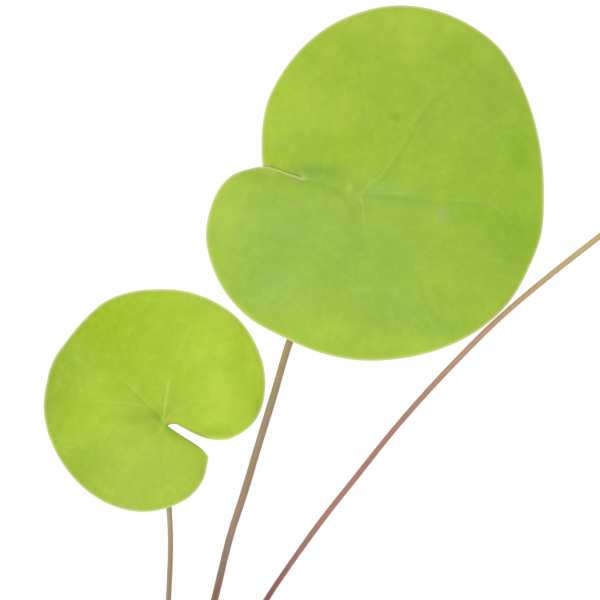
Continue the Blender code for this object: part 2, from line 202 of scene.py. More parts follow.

# %% [markdown]
# ## Veins
# On the real leaf a handful of veins fan out from the foot and fork on the way to the rim. Near the foot they
# are pale lines, and beside each lies a painted shade on the side turned from the light, deepening its
# shallow groove; further out they fade into the green. The pale lines are partly the veins' own colour and
# partly painted highlight, and one is wholly a painted highlight on the lit wall of a groove. Each vein here
# is a few
# points, in millimetres from the foot: x, y, how pale it is there and, where it has one, how dark its painted
# shade is. The same lines will shape the mesh and colour it, so that relief and colour stay together.

# %% Courses of the veins
LARGE_LEAF["veins"] = (
    ((0.2, 0, 0.9), (1.2, 0.6, 0.9), (2.2, 1.4, 0.7), (3.4, 2.35, 0.5), (6.4, 4.9, 0.5), (8, 7, 0.4),
     (9.5, 9.1, 0.35), (12, 13.5, 0.15), (15, 19, 0.1), (19, 25, 0.1), (26.5, 31.8, 0.1), (31.6, 37.2, 0.08),
     (33.9, 42, 0)),
    ((0.8, -0.4, 0.3, 0.3), (4.2, -0.6, 0.05, 0.45), (7.6, -0.5, 0.05, 0.55), (10.8, -0.7, 0.05, 0.6),
     (14, -1.1, 0.05, 0.55), (17, -1.7, 0.05, 0.45), (20, -2, 0.1, 0.35), (23.2, -1.6, 0.3, 0.35),
     (28, -1.8, 0.35, 0.35), (32, -1.9, 0.4, 0.3), (36, -2.3, 0.45, 0.3), (38.2, -3.2, 0.3, 0.15),
     (40.6, -5.3, 0.2), (43.6, -9, 0)),
    ((3.6, 1.4, 0, 0.1), (4.9, 2.2, 0, 0.3), (8.1, 4.9, 0, 0.45), (11.1, 9.1, 0, 0.55), (12.8, 12, 0, 0.35),
     (14.4, 14.7, 0, 0.4), (16, 17.6, 0, 0.3), (17.6, 20.8, 0, 0.35), (19.8, 23.9, 0, 0.3),
     (22.2, 26.4, 0, 0.15), (26, 30, 0)),
    ((0.5, -0.8, 0.8), (1.2, -2.5, 0.7), (1.6, -4.6, 0.6, 0.05), (1.9, -8, 0.4, 0.1),
     (2.5, -12.9, 0.15, 0.05), (3.9, -17, 0.06), (5.6, -24, 0.06), (6.6, -34, 0)),
    ((0.2, 0.6, 0.2), (1, 3.1, 0.25), (1.9, 6.4, 0.2), (2.4, 12.3, 0.15), (2.5, 19.3, 0.25),
     (2.4, 24.9, 0.3), (2, 30.5, 0.25), (1.7, 38, 0.15), (1.6, 46, 0)),
    ((-0.4, 0.1, 0.3, 0.3), (-1.4, -0.5, 0.2, 0.4), (-3.2, -0.6, 0.1, 0.3), (-6.4, 0.4, 0.1, 0.3),
     (-9, 2, 0.1, 0.05), (-12.4, 3.3, 0.25), (-14.4, 4.1, 0.25), (-15.2, 4.3, 0)),
    ((-1.4, 0.6, 0.4), (-1.9, 1.5, 0.6, 0.1), (-2.3, 2.5, 0.5, 0.1), (-2.4, 3.4, 0)),
    # a painted highlight on the lit wall of the groove along the vein before it
    ((5, -0.2, 0), (7.6, 0, 0.3), (10, 0.1, 0.45), (12.6, 0.1, 0.4), (16.2, -0.4, 0.1), (20.4, -0.8, 0)),
    ((36.7, -2.2, 0.3), (39.2, 0.6, 0.2), (42.3, 4.5, 0.1), (45.6, 9.5, 0)),
    ((-3, -3.5, 0.1), (-8, -8.5, 0.08), (-12.4, -13, 0.1), (-14.8, -18, 0.1), (-16.8, -24.5, 0.08),
     (-18.5, -32, 0)),
    ((-4.8, -1.7, 0.1), (-10, -3.6, 0.06), (-18, -5.3, 0.08), (-26, -6, 0.06), (-33, -6.4, 0)),
    ((4.2, -3.1, 0.1), (8.7, -7.8, 0.05), (13.4, -13.7, 0.08), (17.6, -17.8, 0.12), (21, -20.4, 0.1),
     (27, -24.6, 0.06), (33.6, -29.7, 0)),
    ((13.4, -13.7, 0.06), (17, -21.3, 0.08), (21, -29.7, 0.06), (23.2, -35.3, 0)),
    ((-3.4, 5.3, 0.06), (-7.6, 12.3, 0.08), (-12.6, 20.7, 0.08), (-18.8, 33.3, 0)),
    ((-6, 9, 0.05), (-11, 12.6, 0.06), (-17, 15.6, 0.06), (-23, 18.5, 0)),
    ((7.6, 5.9, 0.1), (14.8, 8.1, 0.06), (23.2, 11.4, 0.1), (30, 15.2, 0.1), (39, 20.7, 0)),
    ((14, 15.7, 0.08), (12.2, 23.5, 0.06), (9.8, 31.9, 0.08), (7.8, 40.3, 0.1), (7, 47.5, 0)),
)
SMALL_LEAF["veins"] = (
    ((-0.4, 0.6, 0.7, 0.1), (-0.3, 2.5, 0.85, 0.15), (-0.1, 5.2, 0.85, 0.2), (0.2, 6.6, 0.8, 0.2),
     (0.5, 8.8, 0.85, 0.15), (0.75, 10.6, 0.9, 0.1), (0.9, 11.9, 0.2), (1.6, 14.6, 0.1), (2.9, 17.6, 0.08),
     (4.3, 20.6, 0.1), (5.1, 23.2, 0.4, 0.1), (6.2, 25.6, 0.4, 0.1), (7.2, 27.6, 0.15), (9.2, 31.5, 0)),
    ((-0.6, 0.4, 0.15, 0.7), (-1.4, 1.7, 0.1, 0.85), (-2.4, 3, 0.1, 0.85), (-4.2, 4.5, 0.25, 0.65),
     (-5.7, 6, 0.2, 0.6), (-7.2, 7.7, 0.2, 0.6), (-8.7, 9.2, 0.35, 0.5), (-10, 10.4, 0.3, 0.35),
     (-12.7, 12.6, 0.1, 0.1), (-15, 14.6, 0.06), (-18.3, 17.5, 0.06), (-21.7, 20.4, 0)),
    ((-4.3, 4.2, 0.2), (-6.6, 5, 0.3), (-9.4, 5.4, 0.25, 0.1), (-13.3, 5.8, 0.25, 0.1),
     (-18.3, 5.9, 0.25, 0.1), (-22.5, 5.9, 0.12), (-27.5, 5.5, 0)),
    ((-0.3, -0.7, 0.5), (-1, -1.6, 0.7), (-1.8, -2.6, 0.6), (-3.1, -3.8, 0.3), (-5.5, -5.2, 0.1),
     (-8.8, -7.6, 0.08), (-15.5, -13.7, 0)),
    ((-2.1, -1.1, 0.08), (-7.1, -2, 0.06), (-12.7, -2.5, 0.06), (-17.5, -3, 0.12), (-22, -4.8, 0.1),
     (-26.7, -6.7, 0)),
    ((-8.8, 9.2, 0.1), (-10.7, 15, 0.08, 0.1), (-12, 20, 0.1, 0.25), (-13.2, 25.4, 0.15, 0.15),
     (-14.6, 30, 0)),
    ((0.6, 10.9, 0.3), (-0.6, 14, 0.12), (-1.5, 20.4, 0.06), (-2.7, 27.4, 0.06), (-3.5, 33, 0)),
    ((0.7, 1.1, 0.2), (3.5, 3.4, 0.2), (6.3, 5.3, 0.08), (9.7, 7.6, 0.08), (13.9, 10.6, 0.06),
     (18.1, 14.3, 0)),
    ((1.8, 0.8, 0.2), (6.9, 2, 0.1), (11.9, 3.1, 0.06), (17.5, 3.6, 0)),
    ((0.7, 4.2, 0.05), (4.1, 10.6, 0.12), (8.3, 16.2, 0.06), (12.5, 21.8, 0.06), (15.8, 26.6, 0)),
    ((-0.7, -1.4, 0.1), (-1.5, -6.2, 0.06), (-2.1, -11.8, 0.05), (-2.9, -18.8, 0)),
    ((0.1, -1.4, 0.1), (2.7, -6.2, 0.06), (4.6, -11.8, 0.05), (5.2, -17.4, 0)),
)


def vein_course(vein):
    """Rows of distance from the foot, bearing in radians, paleness and darkness, with distances rising."""
    line = smooth_line([(*point, 0.0)[:4] for point in vein])
    course = np.column_stack([
        np.hypot(line[:, 0], line[:, 1]),
        np.unwrap(np.arctan2(line[:, 1], line[:, 0])),
        np.clip(line[:, 2], 0.0, 1.0),
        np.clip(line[:, 3], 0.0, 1.0),
    ])
    rising = np.maximum.accumulate(course[:, 0]) <= course[:, 0]
    return course[rising]


for leaf in (LARGE_LEAF, SMALL_LEAF):
    leaf["courses"] = [vein_course(vein) for vein in leaf["veins"]]
    print(leaf["name"], "veins:", len(leaf["courses"]))

# %% [markdown]
# ## Soft patches of tone
# A living leaf is never one green, and here the patches also paint the light and shade that fell across the
# blades. Sunny spots are partly painted light, yellower where a blade turns towards the lamp, as on the large
# leaf's left side and the small leaf's right. Cool spots are partly painted shade where a blade dips, as on
# the small leaf's left side. Deep ones are the saturated green of thick parts and also paint the large leaf's
# darker right side. The shade kind is painted shade, as where the upper lobe dips under the notch's edge, and
# glow is painted light that lifts the shadow along that edge. Milky, rich, dull and blush are the leaf's own
# tones.
# Each patch is one soft spot of a kind: x and y from the foot, its two half-widths, and its strength. They
# are worked out on the mesh's points, because they change slowly, and the material reads them. The kinds are
# laid over one another in the order of TONES.

# %% Patches of tone, listed
FRAY_SHARE, FRAY_MOST = 0.4, 1.2  # of a patch's smaller half-width, and at most in millimetres
# the yellow kind is partly painted light, the cool and deep kinds partly painted shade, the shade kind
# painted shade and glow painted light
TONES = ("sunny", "cool", "deep", "milky", "rich", "dull", "shade", "blush", "glow")
LARGE_LEAF["patches"] = {
    # yellower spots, partly painted light: the large leaf's lighter left side and its bulges towards the lamp
    "sunny": ((-13.2, 15, 15, 6, 0.1), (-25, 14, 2.5, 8, 0.3), (-37.8, -6, 7, 14, 0.55),
        (-16, 27, 12, 12, 0.58), (-8, 36, 5, 8, 0.62), (19, 30.5, 3, 3.5, 0.35), (-18, -33, 9, 4, 0.25),
        (34.5, 41.5, 7, 7, 0.28), (1, 48, 12, 4, 0.6), (11.5, 44.5, 10, 8, 0.75), (-3.4, 24, 7, 10, 0.55),
        (27, 46, 7, 4, 0.35), (6.4, 33.5, 6, 8, 0.4), (12, 12.5, 14, 7, 0.2), (-8, -38, 11, 4, 0.45),
        (12, -42.5, 17, 4, 0.35), (35, -34, 7, 5, 0.3), (28, -30, 8, 6, 0.32), (-34, 2, 6, 6, 0.35),
        (9, -4, 5, 2, 0.3), (-4, -4.2, 3, 2.2, 0.4), (-2.4, 1.5, 0.6, 1.5, 0.9)),
    # cooler spots, partly painted shade, as where the upper lobe dips under the notch's edge
    "cool": ((-13.2, 6.2, 8, 2.6, 0.6), (-3.4, -20, 6.5, 6.5, 0.4), (8, -17, 10, 9, 0.52),
        (12, -32.5, 14, 7, 0.5), (24, -29, 12, 5, 0.4), (-24, -14, 13, 12, 0.35), (6.4, 33, 3.5, 14, 0.2),
        (-16, -6, 9, 3.5, 0.3), (43, -14, 7, 9, 0.5), (17, -3.4, 7.5, 1.8, 0.3), (37, 26, 8, 17, 0.25),
        (-15, 13, 9, 4, 0.4), (34, 5, 9, 6, 0.25), (19, 1, 6, 2, 0.3), (20, 24, 5, 9, 0.3),
        (-6.4, 0.3, 1.3, 1, 0.6)),
    # saturated green, and painted shade on the large leaf's darker right side
    "deep": ((45.5, 12.3, 5, 9, 0.7), (45.5, -10, 7, 7, 0.7), (33, -5.8, 9, 3.5, 0.6),
        (28.8, 39, 3.5, 3.5, 0.6), (10.6, 21.3, 1.6, 1, 0.9), (46.5, 1, 5, 16, 0.3), (48.5, -16, 4, 9, 0.6),
        (28, 1, 11, 3.5, 0.35), (40, -7.5, 6, 5, 0.65), (17.6, 12.3, 7, 5, 0.12), (3.6, -19, 7.5, 5.5, 0.25),
        (28.5, -36, 7, 3.5, 0.3)),
    "milky": ((1, -27, 4, 6, 0.55), (-16, -10, 28, 13, 0.5), (-22, -26, 14, 8, 0.6), (2, -22, 20, 12, 0.35),
        (12, -29.5, 9, 8, 0.55), (22, -37, 8, 4, 0.3), (6, -0.5, 10, 4, 0.6)),
    "rich": ((-22, 9, 6, 4, 0.6), (-8, 33, 26, 18, 0.35), (20, -28, 11, 7, 0.3), (-2, 13.5, 15, 6, 0.6),
        (34, 4, 10, 8, 0.4)),
    "dull": ((23.2, -5.6, 2.2, 1.7, 0.55), (23.9, -7.2, 1.9, 1.2, 0.5), (17.6, -3, 5, 1.4, 0.2),
        (27, -6, 2.4, 1.6, 0.22), (-5.8, -0.6, 0.6, 0.4, 0.5), (-4.7, -1.3, 0.7, 0.35, 0.4)),
    # painted shade beside the notch's overlapping edge and in two darker dips
    "shade": ((-11.8, -11.5, 4, 4, 0.15), (23, -36.5, 9, 3.5, 0.14), (-12.8, 6.4, 7, 2.2, 0.5),
        (-10, 4, 4.5, 1.6, 0.25)),
    "blush": ((0.9, -1.8, 0.6, 1.3, 0.4),),
    # glow: painted light that lifts the shadow along the notch's overlapping edge
    "glow": ((-26, 7.4, 2.2, 1.4, 0.5), (-23, 6.4, 2.4, 1.4, 0.42), (-19.9, 5.4, 2.4, 1.3, 0.3),
        (-16.8, 4.2, 2.4, 1.2, 0.15)),
}
SMALL_LEAF["patches"] = {
    # yellower spots, partly painted light on the small leaf's lighter right side
    "sunny": ((15.5, 9, 8, 13, 0.75), (14.5, 22, 9, 9, 0.74), (21, 4, 5, 9, 0.5), (24, 18, 3, 8, 0.7),
        (24.3, 20.4, 3, 7, 0.85), (17.2, 29.9, 7, 4, 0.6), (6.2, 35, 8, 3, 0.35), (-11, 3.8, 8, 1.3, 0.3),
        (0, 27, 9, 7, 0.1), (8, 4, 6, 6, 0.3), (-9, -6, 10, 4, 0.15)),
    # cooler spots, partly painted shade on the small leaf's darker left side and beside its foot
    "cool": ((-30.5, 8, 8, 22, 0.9), (-22.5, -14, 11, 12, 0.8), (-2.8, 2.2, 2.8, 2.4, 0.9),
        (-17.5, 20.6, 8, 9.5, 0.7), (-15, -24, 12, 6, 0.7), (3, 6, 4, 5.5, 0.25), (-8, 2, 10, 3, 0.35)),
    # saturated green, partly painted shade on the small leaf's darker left side
    "deep": ((-20, 25.8, 5.5, 4.8, 0.75), (13, -2.6, 7.5, 1.6, 0.55), (26.5, 6.5, 1.8, 9, 0.4),
        (-13.3, 9.8, 2.8, 1.2, 0.45), (-30, 20, 6, 8, 0.35)),
    "milky": ((-6, -14, 18, 10, 0.45), (-28, -2, 6, 6, 0.1)),
    "rich": ((-12, 25, 12, 11, 0.65), (22, 22, 7, 12, 0.45), (24.5, 10, 5, 9, 0.3), (-13, 31, 9, 5, 0.7),
        (6.8, 12, 5, 5, 0.3), (14, 24, 8, 6, 0.3), (0, 31, 9, 4, 0.4), (-28, 4, 7, 12, 0.4),
        (-22, -14, 9, 9, 0.3)),
    # painted shade on the small leaf's darker left side, round its foot and beside its first vein
    "shade": ((-32, 4, 4, 18, 0.3), (-27.5, 16.5, 5, 9, 0.32), (-0.3, 6.6, 1.2, 3, 0.3),
        (-10.5, -8.2, 5, 4, 0.14), (-23, -13, 9, 9, 0.3), (-7, -17, 9, 6, 0.12), (-8, 7.5, 7, 4.5, 0.16),
        (1.6, 5.5, 2.2, 6, 0.35), (1, 3, 1.8, 2.2, 0.45), (-3, -1, 2.6, 1.6, 0.25), (-2, 1.5, 1.4, 1.5, 0.4),
        (10, -3.2, 9, 0.9, 0.25)),
    "blush": ((0.7, 1.3, 0.9, 0.8, 0.8), (1.6, 0.4, 2, 0.5, 0.6)),
}


def tone_at(patches, x, y, ragged_x, ragged_y):
    """How strongly the patches are felt at the points. The ragged fields fray their borders."""
    felt = np.zeros_like(x)
    for patch_x, patch_y, wide, high, strength in patches:
        fray = min(FRAY_SHARE * min(wide, high), FRAY_MOST)
        aside_x = (x + fray * ragged_x - patch_x) / wide
        aside_y = (y + fray * ragged_y - patch_y) / high
        felt = np.maximum(felt, strength * bell(aside_x) * bell(aside_y))
    return felt


print("patches:", *(sum(map(len, leaf["patches"].values())) for leaf in (LARGE_LEAF, SMALL_LEAF)))

# %% [markdown]
# ## The surface of a blade
# A blade could be sculpted, but a grid laid out by formula keeps the measured outline exactly. Columns fan
# out from the foot to the rim, and rows run round the foot. The first and the last column lie along the two
# edges of the notch, and the columns near them turn little by little to follow: near the foot by their
# distance from it, and further out by their share of the way. The underside comes first: it bulges between
# foot and rim, sinks in a funnel at the foot, and has folds along the veins.

# %% The underside as a grid of points
DOME_POWER = 1.7
FUNNEL_DEPTH, FUNNEL_RADIUS = 1.0, 5.0
FOLD_START = 6.0
EDGE_REACH, TURN_REACH, TURN_SHARE = 0.16, 0.27, 0.6  # shares of the rim, twice, and of the way out
COLUMN_CROWDING, RIM_ROW_CROWDING = 0.06, 1.35


def round_shares(columns):
    """Where the columns meet the rim, closer together at the lobes' tips."""
    even = np.linspace(0.0, 1.0, columns + 1)
    return even - COLUMN_CROWDING * np.sin(2.0 * math.pi * even)


def outward_shares(rows, inner_end):
    """Where the rows lie, with one at the inner end of the notch and narrow ones at the rim."""
    inner_rows = max(2, round(rows * inner_end))
    inner = np.linspace(0.0, inner_end, inner_rows + 1)
    steps = np.linspace(0.0, 1.0, rows - inner_rows + 1)
    outer = inner_end + (1.0 - inner_end) * (1.0 - (1.0 - steps) ** RIM_ROW_CROWDING)
    return np.concatenate([inner[:-1], outer]), inner_rows


def fold_depth(folds, x, y, share):
    """How far the folds along the veins lower the points."""
    distance = np.hypot(x, y)
    bearing = np.degrees(np.arctan2(y, x))
    depth = np.zeros_like(x)
    for start, end, deepest, half_width, reach in folds:
        turn = np.radians((bearing - start - (end - start) * share + 180.0) % 360.0 - 180.0)
        aside = np.where(np.abs(turn) < math.pi / 2, distance * np.sin(turn), distance)
        depth += deepest * bell(aside / half_width) * fade(share / reach)
    return depth * (1.0 - fade(distance / FOLD_START))


def underside(leaf):
    """The grid of the underside: x, y and height for each column and row, and each row's share of the way."""
    first_line = smooth_line(leaf["first_edge"])
    last_line = smooth_line(leaf["last_edge"]) - [0.0, 360.0]
    notch_start, notch_end = first_line[0, 0], first_line[-1, 0]
    round_the_rim = round_shares(leaf["columns"])
    outward, inner_rows = outward_shares(leaf["rows"], notch_start / notch_end)
    rim = np.array(leaf["rim"], dtype=float)
    outline = smooth_line(np.column_stack([compass(rim[:, 0], rim[:, 1]), rim[:, 2]]))
    outline = walk(outline, round_the_rim)
    at_rim = np.degrees(np.unwrap(np.arctan2(outline[:, 1], outline[:, 0])))
    at_rim += round((first_line[-1, 1] - at_rim[0]) / 360.0) * 360.0
    at_foot = first_line[0, 1] - np.linspace(0.0, 360.0, len(outline))

    share = np.broadcast_to(outward, (len(outline), len(outward)))
    distance = np.hypot(outline[:, 0], outline[:, 1])[:, None] * share
    bearing = at_foot[:, None] + (at_rim - at_foot)[:, None] * share
    from_edges = np.stack([round_the_rim, 1.0 - round_the_rim])[:, :, None]
    for line, side, weight in zip((first_line, last_line), (0, -1), fade(from_edges / TURN_REACH)):
        along = distance + (share * line[-1, 0] - distance) * (1.0 - fade(share / TURN_SHARE))
        straight = at_foot[side] + (at_rim[side] - at_foot[side]) * np.minimum(along / line[-1, 0], 1.0)
        bearing = bearing + weight * (np.interp(along, line[:, 0], line[:, 1]) - straight)
    x, y = np.moveaxis(compass(bearing, distance), -1, 0)

    first_weight, last_weight = fade(from_edges / EDGE_REACH)
    closed = fade((distance - notch_start) / leaf["parting"])
    meeting = closed * (first_weight + last_weight)
    low = outline[:, 2][:, None] * (1.0 - meeting) + meeting * (outline[0, 2] + outline[-1, 2]) / 2.0
    height = low + (leaf["foot_height"] + FUNNEL_DEPTH - low) * (1.0 - share**DOME_POWER)
    height -= FUNNEL_DEPTH * bell(distance / FUNNEL_RADIUS)
    height += (1.0 - closed) * (first_weight * leaf["first_rise"] + last_weight * leaf["last_rise"])
    height -= fold_depth(leaf["folds"], x, y, share)
    return x, y, height, share, inner_rows


for leaf in (LARGE_LEAF, SMALL_LEAF):
    leaf["grid"] = underside(leaf)
    height = leaf["grid"][2]
    print(leaf["name"], "grid:", height.shape, "height:", height.min().round(2), "to", height.max().round(2))

# %% [markdown]
# ## Stalks and stolon, as measured
# A leaf stalk is a soft round stem with fine lengthwise ribs. It lies on the surface, slips under its blade
# and turns up into the foot. Routes are x, y and the lift off the surface, in millimetres. Radii go with the
# share of a stalk's length, from the stolon on. Both follow the solids closely.

# %% Routes
LARGE_STALK = (
    (-44.8, -106.6, 0.8), (-43.8, -101.6, 0.5), (-40.6, -85, 0), (-32.2, -54.6, 0), (-27.3, -35, 0.2),
    (-24.4, -26.2, 0.3), (-19.9, -11.2, 0.2), (-16, 1.4, 0.1), (-11.1, 17.9, 0), (-6.6, 29.6, 0),
    (-0.1, 43.6, 0),
)
SMALL_STALK = (
    (-49.4, -106.6, 1), (-49, -100.6, 0.6), (-46.6, -82, 0), (-45.1, -54.6, 0.1), (-44.6, -36.4, 0),
    (-45, -28.6, 0), (-45.9, -18, 0),
)
RUNNER = (
    (-40.4, -106.6, 1), (-38.2, -101.1, 0.6), (-31.5, -82, 0), (-17.7, -54.7, 0), (-10.2, -43.5, 0.2),
    (-2.1, -32.3, 0.3), (6.9, -20.9, 0.3), (20.4, -4.2, 0.1), (35.9, 12.7, 0), (45, 21.8, 0),
    (61.9, 36.4, 0.3), (70.5, 43.2, 0.8), (79.5, 50.2, 1.4),
)
STOLON = ((-55.6, -110.5), (-49.6, -109.7), (-44.8, -109.5), (-40.2, -109.3), (-34.6, -110.1))
LARGE_STALK_RADII = ((0.0, 0.98), (0.6, 1.02), (0.75, 1.0), (0.9, 0.88), (1.0, 0.88))
SMALL_STALK_RADII = ((0.0, 0.74), (0.8, 0.72), (1.0, 0.68))
RUNNER_RADII = ((0.0, 0.8), (1.0, 0.76))
print("points on the routes:", len(LARGE_STALK), len(SMALL_STALK), len(RUNNER), len(STOLON))

# %% [markdown]
# ## Relief that the eye can feel
# Up close a blade isn't an even dome. It waves gently, its margin ripples, and each vein is a fine groove on
# the upper face and a raised line below. These are small heights, from a few hundredths to a few tenths of a
# millimetre, so they are added to the grid rather than modelled by hand.

# %% Noise, stalks, veins and edges as fields on the grid
VEIN_WIDTH, VEIN_SPREAD = 0.42, 0.010
OWN_SIDE = 0.7  # the share of the columns whose edge counts for one half of the grid


def noise_field(x, y, length, seed):
    """Smooth noise from about -1 to 1, whose waves are about that long."""
    flat = [noise.noise(Vector((a / length, b / length, seed))) for a, b in zip(x.flat, y.flat)]
    return np.array(flat).reshape(x.shape)


def stalk_distance(foot, x, y):
    """How far each point is, seen from above, from the nearest stalk."""
    nearest = np.full(x.shape, np.inf)
    for route in (LARGE_STALK, SMALL_STALK, RUNNER):
        line = smooth_line(route)[:, :2] - foot
        for i in range(len(x)):
            apart = np.hypot(x[i][:, None] - line[:, 0], y[i][:, None] - line[:, 1]).min(axis=1)
            nearest[i] = np.minimum(nearest[i], apart)
    return nearest


def vein_relief(courses, x, y):
    """How much of a vein there is at each point, from 0 to 1."""
    distance = np.hypot(x, y)
    bearing = np.arctan2(y, x)
    relief = np.zeros_like(x)
    for course in courses:
        turn = (bearing - np.interp(distance, course[:, 0], course[:, 1])) / 2.0
        aside = 2.0 * distance * np.sin(turn) / (VEIN_WIDTH + VEIN_SPREAD * distance)
        strength = np.interp(distance, course[:, 0], course[:, 2] + course[:, 3], left=0.0, right=0.0)
        relief = np.maximum(relief, np.minimum(strength, 1.0) * bell(aside))
    return relief


def open_edge(columns, rows, inner_rows):
    """The grid's open edge as column and row numbers: out along one side of the notch, round, and back."""
    out = [(0, j) for j in range(inner_rows, rows)]
    rim = [(i, rows) for i in range(columns)]
    back = [(columns, j) for j in range(rows, inner_rows, -1)]
    return tuple(np.transpose(out + rim + back))


def edge_distance(x, y, edge):
    """How far each point is from the edge on its own side of the notch, and how far out that edge is."""
    columns = len(x) - 1
    nearest, nearest_radius = np.empty_like(x), np.empty_like(x)
    for i in range(len(x)):
        own = edge[0] < columns * OWN_SIDE if i < columns // 2 else edge[0] > columns * (1.0 - OWN_SIDE)
        edge_x, edge_y = x[edge][own], y[edge][own]
        apart = np.hypot(x[i][:, None] - edge_x, y[i][:, None] - edge_y)
        closest = apart.argmin(axis=1)
        nearest[i] = apart.min(axis=1)
        nearest_radius[i] = np.hypot(edge_x[closest], edge_y[closest])
    return nearest, nearest_radius


for leaf in (LARGE_LEAF, SMALL_LEAF):
    leaf["edge"] = open_edge(leaf["columns"], leaf["rows"], leaf["grid"][-1])
    print(leaf["name"], "points on the open edge:", len(leaf["edge"][0]))

# %% [markdown]
# ## The two faces of a blade
# A blade is about half a millimetre thick and thins to a fine edge. A soft limit keeps it on the surface
# where it is pressed flat, and it stays calm where a stalk passes beneath. The same step works out what the
# finish will want to know at each point, such as how near the margin is and how strong each tone is.

# %% Faces and fields
STALK_BERTH = 4.0
WAVE_HEIGHT, WAVE_LENGTH = 0.26, 24.0
DIMPLE_HEIGHT, DIMPLE_LENGTH, DIMPLE_SEED = 0.05, 6.0, 5.0
RIPPLE_HEIGHT, RIPPLE_LENGTH, RIPPLE_SEED, RIPPLE_REACH = 0.18, 11.0, 9.0, 5.0
FRAY_LENGTH, FRAY_SEEDS = 2.6, (13.0, 17.0)
LIP_DROP, LIP_REACH = 0.1, 0.8
PRESS_SOFTNESS = 0.22
BODY_THICKNESS, FOOT_THICKENING, MARGIN_THICKNESS, MARGIN_ROUNDING = 0.42, 0.25, 0.14, 0.9
GROOVE_DEPTH, RIDGE_HEIGHT, LOWEST_BLADE = 0.08, 0.24, 0.01


def two_faces(leaf):
    """The heights of the upper and the lower face, and the fields that the finish reads."""
    x, y, height, share, _ = leaf["grid"]
    to_edge, edge_radius = edge_distance(x, y, leaf["edge"])
    seed = leaf["foot"][0]
    waves = WAVE_HEIGHT * noise_field(x, y, WAVE_LENGTH, seed)
    waves += DIMPLE_HEIGHT * noise_field(x, y, DIMPLE_LENGTH, seed + DIMPLE_SEED)
    ripple = noise_field(x, y, RIPPLE_LENGTH, seed + RIPPLE_SEED)
    waves += RIPPLE_HEIGHT * ripple * np.exp(-to_edge / RIPPLE_REACH)
    height = height + waves * (1.0 - bell(stalk_distance(leaf["foot"], x, y) / STALK_BERTH))

    last_half = np.arange(len(x))[:, None] >= leaf["columns"] // 2
    # the lip carries a painted highlight; along the notch's edges one table gives painted shade on one side
    # and a darker olive band on the other
    lip, dusk, glow = (
        np.interp(edge_radius, *np.transpose(leaf[name])) for name in ("lip", "dusk", "edge_glow"))
    fields = {"margin": to_edge, "edge_glow": glow, "lip": lip * last_half,
              "dusk": dusk * ~last_half, "worn": dusk * last_half}
    bearing = np.degrees(np.arctan2(y, x))
    fields["rim_tint"] = np.interp(bearing, *np.transpose(leaf["rim_tint"]), period=360.0)
    ragged = [noise_field(x, y, FRAY_LENGTH, seed + more) for more in FRAY_SEEDS]
    for kind in TONES:
        fields[kind] = tone_at(leaf["patches"].get(kind, ()), x, y, *ragged)

    height -= LIP_DROP * fields["lip"] * bell(to_edge / LIP_REACH)
    height = (height + np.sqrt(height**2 + PRESS_SOFTNESS**2)) / 2.0
    body = BODY_THICKNESS + FOOT_THICKENING * (1.0 - share)
    thickness = MARGIN_THICKNESS + (body - MARGIN_THICKNESS) * (1.0 - bell(to_edge / MARGIN_ROUNDING))
    vein = vein_relief(leaf["courses"], x, y) * (1.0 - np.exp(-to_edge / MARGIN_ROUNDING))
    upper = height + thickness - GROOVE_DEPTH * vein
    lower = np.maximum(height - RIDGE_HEIGHT * vein, LOWEST_BLADE)
    return upper, lower, fields


for leaf in (LARGE_LEAF, SMALL_LEAF):
    leaf["faces"] = two_faces(leaf)
    thickness = leaf["faces"][0] - leaf["faces"][1]
    print(leaf["name"], "thickness:", thickness.min().round(2), "to", thickness.max().round(2), "mm")

# %% [markdown]
# ## Closing a blade
# A blade is a thin closed body: an upper sheet, a lower sheet and a narrow rounded margin that joins them.
# The two sheets share the grid. Their points at the foot and along the closed end of the notch are merged, so
# that the body is watertight.

# %% A blade from its faces
MARGIN_BULGE, BULGE_START = 0.07, 10.0


def closed_mesh(name, points, faces):
    """A smooth mesh from points in millimetres, with its faces turned outward."""
    mesh = bpy.data.meshes.new(name)
    mesh.from_pydata((points * MM).tolist(), [], faces)
    mesh.validate()
    work = bmesh.new()
    work.from_mesh(mesh)
    bmesh.ops.recalc_face_normals(work, faces=work.faces)
    open_edges = sum(not edge.is_manifold for edge in work.edges)
    work.to_mesh(mesh)
    work.free()
    mesh.shade_smooth()
    print(name, "triangles:", sum(len(face) - 2 for face in faces), "open edges:", open_edges)
    return mesh


def keep(mesh, name, values):
    """Keep one number, or three, for each point of the mesh, for its finish to read."""
    kind, part = ("FLOAT", "value") if values.ndim == 1 else ("FLOAT_VECTOR", "vector")
    mesh.attributes.new(name, kind, "POINT").data.foreach_set(part, values.astype(np.float32).ravel())


def add_piece(mesh, node):
    """The mesh as a piece of the plant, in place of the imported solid."""
    piece = bpy.data.objects.new(mesh.name, mesh)
    bpy.context.scene.collection.objects.link(piece)
    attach(piece, "root")
    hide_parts(node)
    return piece


def margin_ring(x, y, middle):
    """A ring of points just outside the edge, half way up, which fades into it at the notch's inner end."""
    along_x, along_y = (np.roll(line, -1) - np.roll(line, 1) for line in (x, y))
    size = np.maximum(np.hypot(along_x, along_y), 1e-6)
    from_end = np.minimum(np.arange(len(x)), len(x) - np.arange(len(x)))
    bulge = MARGIN_BULGE * np.minimum(from_end / BULGE_START, 1.0) ** 2
    return np.column_stack([x - along_y / size * bulge, y + along_x / size * bulge, middle])


